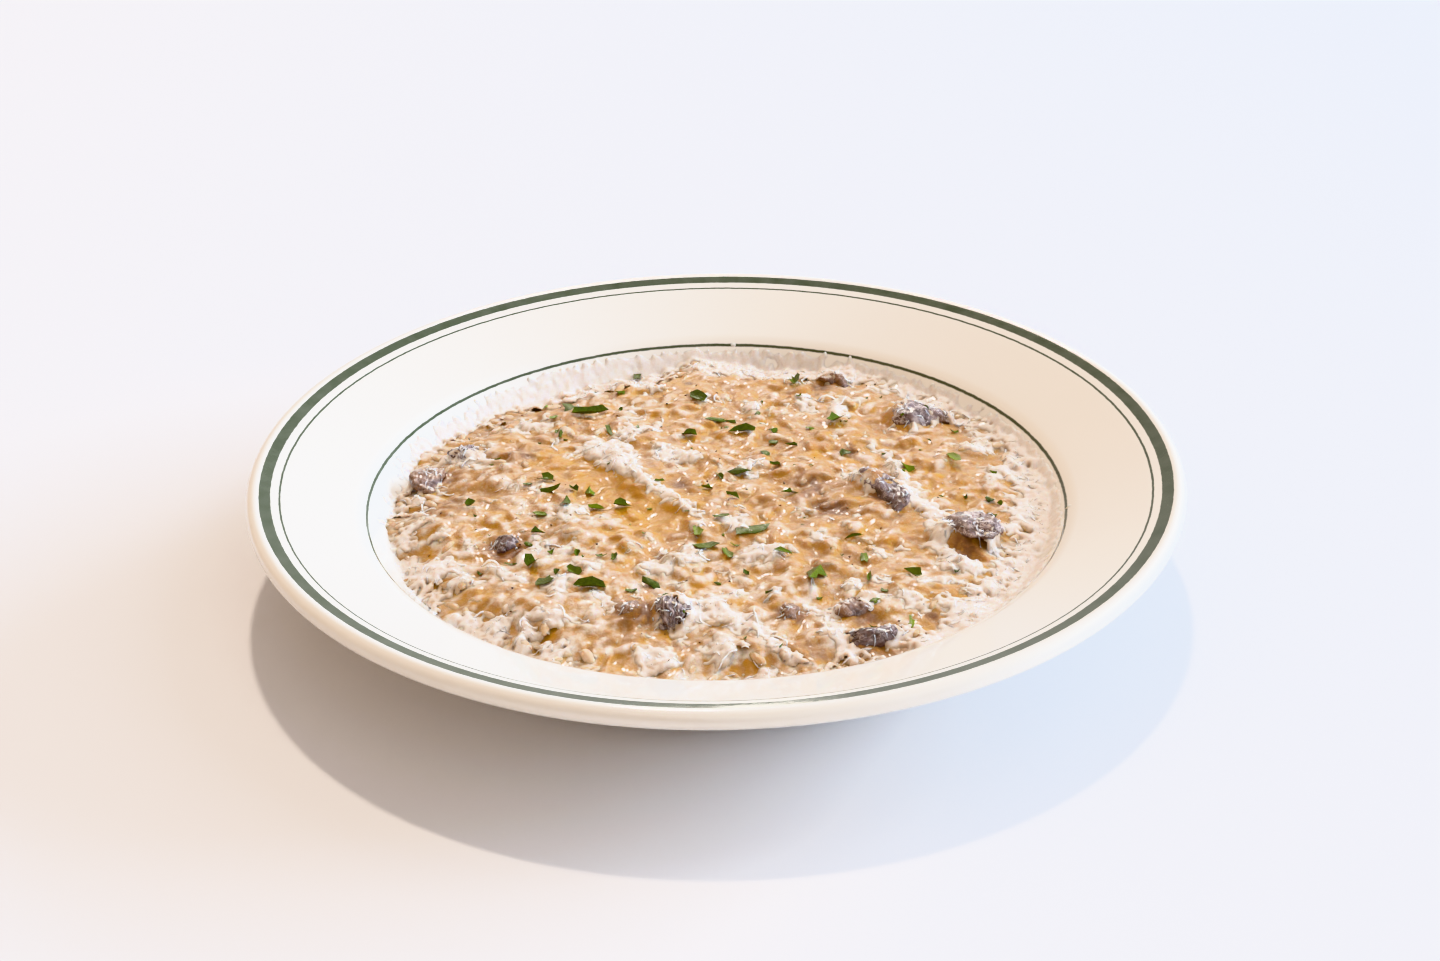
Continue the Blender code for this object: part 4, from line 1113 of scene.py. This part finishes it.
def lay_grains(rng, food):
    """Lay the grains that show, half in the sauce, and return them as one swarm."""
    shapes = [grain_shape(rng) for _ in range(GRAIN_SHAPES)]
    taken = np.full((TOP_GRAINS, 3, 2), np.inf)     # three places along each grain that is laid
    swarm = Swarm()
    laid = 0
    for _ in range(60 * TOP_GRAINS):
        if laid == TOP_GRAINS:
            break
        (x, y), turn, half = random_grain(rng, 1.2)
        dx, dy = math.cos(turn) * half[0] * 0.6, math.sin(turn) * half[0] * 0.6
        if at(food.caps, x, y) > 1.0 or at(food.scoop, x, y) > rng.uniform(0.15, 0.6):
            continue
        places = np.array([(x - dx, y - dy), (x, y), (x + dx, y + dy)])
        if np.hypot(*(taken.reshape(-1, 1, 2) - places).T).min() < GRAIN_SPACING:
            continue
        taken[laid] = places
        laid += 1
        top = at(food.sauce, x, y) + rng.uniform(0.0, 0.7) * (1 - at(food.calm, x, y))
        white, gold = coat_colours(rng, food, (x, y))
        food.stamp((x, y), turn, half, top, rng.choice((-0.15, -0.1, 0.0, 0.2)), white, gold)
        pitch, roll = slope_turn(food.level, x, y, turn)
        pitch += rng.uniform(-0.16, 0.16)
        verts, faces = shapes[rng.randrange(len(shapes))]
        size = (half[0], half[1], GRAIN_DEPTH / 2 * rng.uniform(0.9, 1.1))
        verts = (verts * size) @ lay_matrix(turn, pitch, roll).T + (x, y, top - GRAIN_DEPTH / 2)
        swarm.add(verts, faces, (gold, 0.8 * white, at(food.stain_and_shade, x, y)))
    return swarm


# ==== cheese

def crumb_points(rng, size, jagged, form, tip):
    """Return the points of an uneven crumb that lies on the food, tipped by about that much."""
    jitter = np.array([[rng.uniform(*jagged) for _ in range(3)] for _ in range(6)])
    turn = lay_matrix(rng.uniform(0, math.tau), rng.gauss(0, tip), rng.gauss(0, tip))
    return (CRUMB_VERTS * jitter * size * form) @ turn.T


def cheesy_place(rng, food, least=0.0):
    """Return a random place on the heap, where there is much cheese rather than little."""
    while True:
        x, y = random_place(rng, least)
        if at(food.cheese, x, y) > rng.uniform(0.3, 1.4):
            return x, y


def place_on_cap(rng, food):
    """Return a random place on a piece of mushroom."""
    while True:
        x, y = random_place(rng, 3.0)
        if at(food.caps, x, y) > 1.0:
            return x, y


class Felt:
    """A fine grid of grated cheese over the food: strands that are heaped on each other."""

    def __init__(self):
        self.x, self.y = grid(FELT_PITCH)
        self.lift = np.full(self.x.shape, FELT_GROUND)
        self.melted = np.zeros(self.x.shape)

    def lay(self, path, width, most, melted):
        """Lay one strand on those that are there, no higher than most."""
        corners = [(min(c) - width + FIELD_REACH, max(c) + width + FIELD_REACH) for c in zip(*path)]
        window = tuple(
            slice(max(0, int(low / FELT_PITCH)), int(high / FELT_PITCH) + 2) for low, high in corners)
        middle = path[len(path) // 2]
        under = at(self.lift, *middle)
        rise = min(max(under, 0.0) + 0.15 * width, most)
        away = path_distance(self.x[window], self.y[window], path) / (width / 2)
        top = rise + 0.4 * width * np.sqrt(np.clip(1 - away * away, 0, 1))
        wins = (away < 1) & (top > self.lift[window])
        self.lift[window] = np.where(wins, top, self.lift[window])
        self.melted[window] = np.where(wins, melted, self.melted[window])


def strand_path(rng, x, y, length, curve, steps=4):
    """Return the points of one curved strand."""
    heading = rng.uniform(0, math.tau)
    path = [(x, y)]
    for _ in range(steps):
        x += math.cos(heading) * length / steps
        y += math.sin(heading) * length / steps
        heading += curve
        path.append((x, y))
    return path


def kept_outside(rng, x, y):
    """Say whether a strand at or past the heap's edge stays: about half do, but few at the front."""
    turn = math.degrees(math.atan2(y, x))
    share = 0.6 if -40 < turn < 60 else 0.5 if abs(turn) > 125 or turn > 0 else 0.1
    return rng.random() < share


def fringe_place(rng, towards, spread):
    """Return a random place from just inside the heap's edge to FRINGE_RADIUS."""
    turn = math.radians(rng.gauss(towards, spread))
    start = heap_radius(turn) - 1.0
    radius = start + (FRINGE_RADIUS - start) * rng.random() ** 1.2
    return radius * math.cos(turn), radius * math.sin(turn)


def lay_fringes(rng, felt):
    """Lay short strands on the porcelain round the heap, and crumbs on its green line."""
    for towards, spread, count in FRINGES:
        for _ in range(count):
            place = fringe_place(rng, towards, spread)
            path = strand_path(rng, *place, rng.uniform(*FRINGE_LENGTH), rng.gauss(0, 0.4))
            if math.hypot(*path[-1]) < FRINGE_RADIUS:
                felt.lay(path, rng.uniform(*FRINGE_WIDTH), rng.uniform(0.0, 0.3), 0.4 * rng.random())
    for x, y in LINE_CRUMBS:
        felt.lay(strand_path(rng, x, y, 1.2, 0.3), 1.3, 0.3, 0.0)


def lay_strands(rng, food, felt):
    """Heap the strands on the food, most of them where it is cheesy."""
    for number in range(STRANDS):
        loose = number % 12 == 0
        x, y = random_place(rng, 1.0) if loose else cheesy_place(rng, food, -2.5)
        amount = at(food.cheese, x, y) * (1 - 0.85 * (at(food.caps, x, y) > 1))
        outside = at(food.inside, x, y) < 0.5
        if outside and not kept_outside(rng, x, y):
            continue
        short = outside or loose
        length = rng.uniform(*SHORT_LENGTH) if short else rng.uniform(*STRAND_LENGTH)
        path = strand_path(rng, x, y, length, rng.gauss(0, 0.4))
        if math.hypot(*path[-1]) > FRINGE_RADIUS:
            continue
        most = 0.03 if short else (0.05 + 0.38 * min(amount, 1.2)) * rng.uniform(0.4, 1.0)
        most *= 1 - 0.6 * at(food.calm, x, y)
        felt.lay(path, rng.uniform(*STRAND_WIDTH) * (1.3 if outside else 1.0), most, rng.random() ** 1.5)


def make_felt(rng, food, paint):
    """Heap the strands and make their upper surface, which dips under the food's where they end."""
    felt = Felt()
    lay_fringes(rng, felt)
    lay_strands(rng, food, felt)
    radius = np.hypot(felt.x, felt.y)
    outside = (radius > reach_towards(felt.x, felt.y)) & (radius < FRINGE_RADIUS - 0.4)
    felt.lift = np.where(outside, blurred(felt.lift, 2.6), blurred(felt.lift, 1.7))
    count = int(2 * FIELD_REACH / FELT_STEP)
    axis = np.linspace(-FIELD_REACH, FIELD_REACH, count)
    x, y = np.meshgrid(axis, axis, indexing="ij")
    lift = read(felt.lift, x, y)
    faces = squares(count)
    faces = faces[lift.ravel()[faces].max(axis=-1) > FELT_LEAST]
    used, faces = np.unique(faces, return_inverse=True)
    faces = faces.reshape(-1, 4)
    height = read(blurred(food.tops, 1.1), x, y) + lift
    verts = np.stack([x, y, height], axis=-1).reshape(-1, 3)[used]
    low = (1 - soft_step(lift, -0.1, 0.5)) * (read(food.inside, x, y) > 0.5)
    gold = np.clip(read(food.gold, x, y), 0, 1)
    tint = np.stack([read(felt.melted, x, y), low, gold], axis=-1).reshape(-1, 3)[used]
    new_piece("cheese_felt", verts, faces, paint, tint=tint)
    food.tops = food.tops + np.maximum(read(felt.lift, food.x, food.y), 0.0)


def shred_shape(rng, food, path, width, arch):
    """Return a twisted strip of cheese that lies on the food along a path."""
    twist = rng.uniform(0, math.pi)
    verts = []
    last = len(path) - 1
    for i, (x, y) in enumerate(path):
        share = i / last
        after = path[min(i + 1, last)]
        before = path[max(i - 1, 0)]
        turn = math.atan2(after[1] - before[1], after[0] - before[0])
        twist += rng.gauss(0, 0.3)
        girth = 0.35 + 0.65 * math.sin(math.pi * min(max(share, 0.08), 0.92)) ** 0.5
        height = at(food.tops, x, y) + arch * math.sin(math.pi * share) + 0.15 * width
        side = (-math.sin(turn) * math.cos(twist), math.cos(turn) * math.cos(twist), math.sin(twist))
        other = (math.sin(turn) * math.sin(twist), -math.cos(turn) * math.sin(twist), math.cos(twist))
        side = np.array(side) * girth * width / 2 * rng.uniform(0.75, 1.25)
        other = np.array(other) * girth * width * 0.3
        centre = np.array((x, y, height))
        verts += [centre + side, centre + other, centre - side, centre - other]
    faces = [(0, 1, 2), (0, 2, 3)]
    for i in range(last):
        for k in range(4):
            a, b = 4 * i + k, 4 * i + (k + 1) % 4
            faces += [(a, a + 4, b), (b, a + 4, b + 4)]
    end = 4 * last
    faces += [(end, end + 2, end + 1), (end, end + 3, end + 2)]
    return np.array(verts), np.array(faces)


def make_cheese(rng, food):
    """Strew loose shreds, curls and crumbs of cheese over the felt of it."""
    paint = cheese_paint()
    make_felt(rng, food, paint)
    swarm = Swarm()
    for _ in range(SHREDS):
        x, y = cheesy_place(rng, food, 2.0)
        path = strand_path(rng, x, y, rng.uniform(*SHRED_LENGTH), rng.gauss(0, 0.25), 5)
        verts, faces = shred_shape(rng, food, path, rng.uniform(*SHRED_WIDTH), rng.uniform(0, 0.3))
        swarm.add(verts, faces, (rng.uniform(0, 0.6), rng.random() * 0.3, 0))
    for _ in range(CAP_SHREDS):
        x, y = place_on_cap(rng, food)
        path = strand_path(rng, x, y, rng.uniform(*CAP_SHRED_LENGTH), rng.gauss(0, 0.3), 5)
        verts, faces = shred_shape(rng, food, path, rng.uniform(*CAP_SHRED_WIDTH), rng.uniform(0, 0.1))
        swarm.add(verts, faces, (rng.uniform(0, 0.3), 0, 0))
    for _ in range(CURLS):
        x, y = cheesy_place(rng, food, 5.0)
        curve = rng.choice((-1, 1)) * rng.uniform(0.03, 0.3)
        path = strand_path(rng, x, y, rng.uniform(*CURL_LENGTH), curve, 9)
        verts, faces = shred_shape(rng, food, path, rng.uniform(*CURL_WIDTH), rng.uniform(0.1, 0.9))
        swarm.add(verts, faces, (rng.uniform(0, 0.4), 0, 0))
    swarm.piece("cheese_shreds", paint, "grated_cheese")
    swarm = Swarm()
    for _ in range(CRUMBS):
        x, y = cheesy_place(rng, food, -2.5 if rng.random() < 0.2 else 0.0)
        size = CRUMB_SIZE[0] + (CRUMB_SIZE[1] - CRUMB_SIZE[0]) * rng.random() ** 1.6
        verts = crumb_points(rng, size, (0.55, 1.3), (0.9, 0.7, 0.55), 0.5)
        verts = verts + (x, y, at(food.tops, x, y) + 0.2 * size)
        swarm.add(verts, CRUMB_FACES, (rng.random() ** 2 * 0.7, rng.random() * 0.5, 0))
    swarm.piece("cheese_crumbs", paint, "grated_cheese")


# ==== parsley and specks

def leaf_shape(rng, food, x, y, length, width, turn):
    """Return one bit of parsley: a thin, folded and angular cut of a leaf that lies on the food."""
    sides = rng.choice((7, 8, 9, 10))
    fold = rng.uniform(-0.8, 1.1)
    curl = rng.uniform(-0.25, 0.45)
    twist = rng.uniform(-0.25, 0.25)
    edge = [rng.uniform(0.62, 1.12) for _ in range(sides)]
    for notch in rng.sample(range(sides), 2):
        edge[notch] *= rng.uniform(0.4, 0.75)
    rows = []
    for reach in (0.5, 1.0):
        for i in range(sides):
            angle = math.tau * i / sides
            far = reach * (1 - reach * (1 - edge[i]))
            rows.append((math.cos(angle) * far, math.sin(angle) * far))
    rows.append((0.0, 0.0))
    top = []
    for along, across in rows:
        u, v = along * length / 2, across * width / 2
        px = x + u * math.cos(turn) - v * math.sin(turn)
        py = y + u * math.sin(turn) + v * math.cos(turn)
        lift = 0.35 + fold * abs(v) + twist * u + curl * along * along * 2
        top.append((px, py, lift))
    top = np.array(top)
    ground = read(food.tops, top[:, 0], top[:, 1])
    middle = float(np.quantile(ground, 0.7))
    top[:, 2] += 0.3 * ground + 0.7 * middle - min(0.0, float(np.min(top[:, 2])))
    bottom = top - (0, 0, LEAF_THICKNESS)
    count = len(top)
    faces = []
    for i in range(sides):
        j = (i + 1) % sides
        upper = [(count - 1, i, j), (i, sides + i, sides + j), (i, sides + j, j)]
        faces += upper + [(a + count, c + count, b + count) for a, b, c in upper]
        faces.append((sides + j, sides + i, sides + i + count))
        faces.append((sides + j, sides + i + count, sides + j + count))
    vein = np.exp(-(np.array([across for _, across in rows]) / 0.25) ** 2)
    return np.concatenate([top, bottom]), np.array(faces), np.concatenate([vein, vein])


def make_parsley(rng, food):
    """Lay the bits of parsley that show best, and scatter smaller ones."""
    leaves = [seen_leaf(*leaf) for leaf in PARSLEY_SEEN]
    for _ in range(PARSLEY_BITS):
        x, y = random_place(rng, 14)
        length = 0.9 + 1.8 * rng.random() ** 1.5
        width = length * rng.uniform(0.3, 0.75)
        leaves.append((x, y, length, width, rng.uniform(0, 360), rng.random() * 0.5))
    swarm = Swarm()
    for x, y, length, width, turn, bright in leaves:
        length, width = length * LEAF_GROWS, width * LEAF_GROWS
        verts, faces, vein = leaf_shape(rng, food, x, y, length, width, math.radians(turn))
        tint = np.stack([np.full(len(verts), bright), vein, np.zeros(len(verts))], axis=-1)
        swarm.add(verts, faces, tint)
    piece = swarm.piece("chopped_parsley", parsley_paint(), "parsley")
    piece.data.set_sharp_from_angle(angle=math.radians(35))


def make_specks(rng, food):
    """Scatter the tiny dark bits."""
    swarm = Swarm()
    for _ in range(SPECKS):
        x, y = random_place(rng, 6)
        verts = crumb_points(rng, rng.uniform(*SPECK_SIZE), (0.6, 1.4), (1.4, 0.8, 0.5), 0.3)
        swarm.add(verts + (x, y, at(food.tops, x, y) + 0.1), CRUMB_FACES, (0, 0, 0))
    swarm.piece("dark_specks", speck_paint(), "mushroom")


# ==== mushrooms

def make_mushroom(node, material, ribbed):
    """Make the detailed piece that stands for one CAD piece of mushroom."""
    mesh = bmesh.new()
    mesh.from_mesh(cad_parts[node].data)
    bmesh.ops.remove_doubles(mesh, verts=mesh.verts, dist=1e-6)
    bmesh.ops.scale(mesh, vec=(1 / MM, 1 / MM, 1 / MM), verts=mesh.verts)
    middle = sum((v.co for v in mesh.verts), Vector()) / len(mesh.verts)
    data = bpy.data.meshes.new(node + "_flesh")
    mesh.to_mesh(data)
    mesh.free()
    piece = in_scene(node + "_flesh", data)
    smooth = piece.modifiers.new("smooth", "SUBSURF")
    smooth.levels = smooth.render_levels = 3 if len(data.polygons) < SMALL_MUSHROOM else 2
    evaluated = piece.evaluated_get(bpy.context.evaluated_depsgraph_get())
    fine = bpy.data.meshes.new_from_object(evaluated)
    piece.modifiers.clear()
    piece.data = fine
    count = len(fine.vertices)
    places, normals = np.zeros(count * 3), np.zeros(count * 3)
    fine.vertices.foreach_get("co", places)
    fine.vertices.foreach_get("normal", normals)
    places, normals = places.reshape(-1, 3), normals.reshape(-1, 3)
    folds = np.zeros(count)
    for i, place in enumerate(places):
        spot = Vector(place)
        lump = noise.noise(spot / 4.5) * 0.9 + noise.noise(spot / 1.9 + Vector((9, 0, 0))) * 0.4
        lump += noise.noise(spot / 0.9 + Vector((0, 0, 5))) * 0.1
        ridge = 1 - abs(noise.noise(spot / 2.6 + Vector((0, 7, 0)))) * 2
        groove = max(0.0, ridge - 0.55) * 1.2
        if ribbed:
            fan = math.atan2(spot.x - middle.x, spot.y - middle.y + RIBS_FROM)
            groove = 0.5 + 0.5 * math.sin(RIBS * fan + 6 * noise.noise(spot / 3))
        folds[i] = groove
        places[i] += normals[i] * (lump - 0.45 * groove)
    fine.vertices.foreach_set("co", (places * MM).ravel())
    fine.update()
    fine.shade_smooth()
    # the grooves' depth, which the paint darkens as painted shade
    add_tint(fine, np.stack([folds, folds * 0, folds * 0], axis=-1))
    fine.materials.clear()
    fine.materials.append(material)
    declare(piece, [node])


def make_mushrooms():
    """Make every piece of mushroom."""
    paints = {look: mushroom_paint("mushroom_" + look, *shares) for look, shares in MUSHROOM_LOOKS.items()}
    for node in sorted(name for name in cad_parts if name.startswith("mushroom")):
        piece = node.removeprefix("mushroom_")
        make_mushroom(node, paints[MUSHROOMS.get(piece, "dusted")], piece in RIBBED)


# ==== studio

def make_camera():
    """Look at the bowl as the photograph does."""
    data = bpy.data.cameras.new("camera")
    data.lens = CAMERA_LENS
    data.sensor_width = SENSOR_WIDTH
    camera = in_scene("camera", data)
    right, up, ahead = camera_axes()
    matrix = Matrix((right, up, -ahead)).transposed().to_4x4()
    matrix.translation = Vector(CAMERA_PLACE) * MM
    camera.matrix_world = matrix
    bpy.context.scene.camera = camera


def make_floor():
    """Add the plain table, which isn't part of the object."""
    corners = ((-1, -1), (1, -1), (1, 1), (-1, 1))
    verts = [(x * TABLE_REACH * MM, y * TABLE_REACH * MM, 0) for x, y in corners]
    mesh = bpy.data.meshes.new("floor")
    mesh.from_pydata(verts, [], [(0, 1, 2, 3)])
    mesh.materials.append(table_paint())
    floor = in_scene("floor", mesh)


def make_sky():
    """Add the soft sky, warm on one side and cool on the other."""
    world = bpy.data.worlds.new("soft_sky")
    graph = Graph(world)
    place = graph.node("TexCoord", output="Generated")
    side = graph.node("VectorMath", {0: place, 1: SKY_COOL_SIDE}, "Value", operation="DOT_PRODUCT")
    share = graph.node("MapRange", {0: side, 1: -SKY_BLEND, 2: SKY_BLEND})
    background = graph.tree.nodes["Background"]
    graph.feed(background.inputs["Color"], graph.mix(share, SKY_WARM, SKY_COOL))
    graph.feed(background.inputs["Strength"], SKY_STRENGTH)
    bpy.context.scene.world = world


def make_lights():
    """Add the suns and the soft lights, each shining towards the bowl."""
    for name, kind, towards, settings, hidden_from in LIGHTS:
        data = bpy.data.lights.new(name, kind)
        for key, value in settings.items():
            setattr(data, key, value)
        light = in_scene(name, data)
        direction = Vector(towards).normalized()
        light.location = -LIGHT_DISTANCE * direction
        light.rotation_euler = direction.to_track_quat("-Z", "Y").to_euler()
        if hidden_from:
            setattr(light, "visible_" + hidden_from, False)


def main():
    """Make the studio, the bowl and its food, each layer of food on what lies under it."""
    make_camera()
    make_floor()
    make_sky()
    make_lights()
    bpy.context.scene.view_settings.view_transform = "Khronos PBR Neutral"
    food = Food()
    rng = random.Random(SEED)
    sink_grains(rng, food)
    lay_mounds(rng, food)
    grains = lay_grains(rng, food)
    food.finish()
    make_bowl()
    make_sauce(food)
    grains.piece("rice_grains", rice_paint(), "creamy_rice")
    make_mushrooms()
    make_cheese(rng, food)
    make_parsley(rng, food)
    make_specks(rng, food)


main()
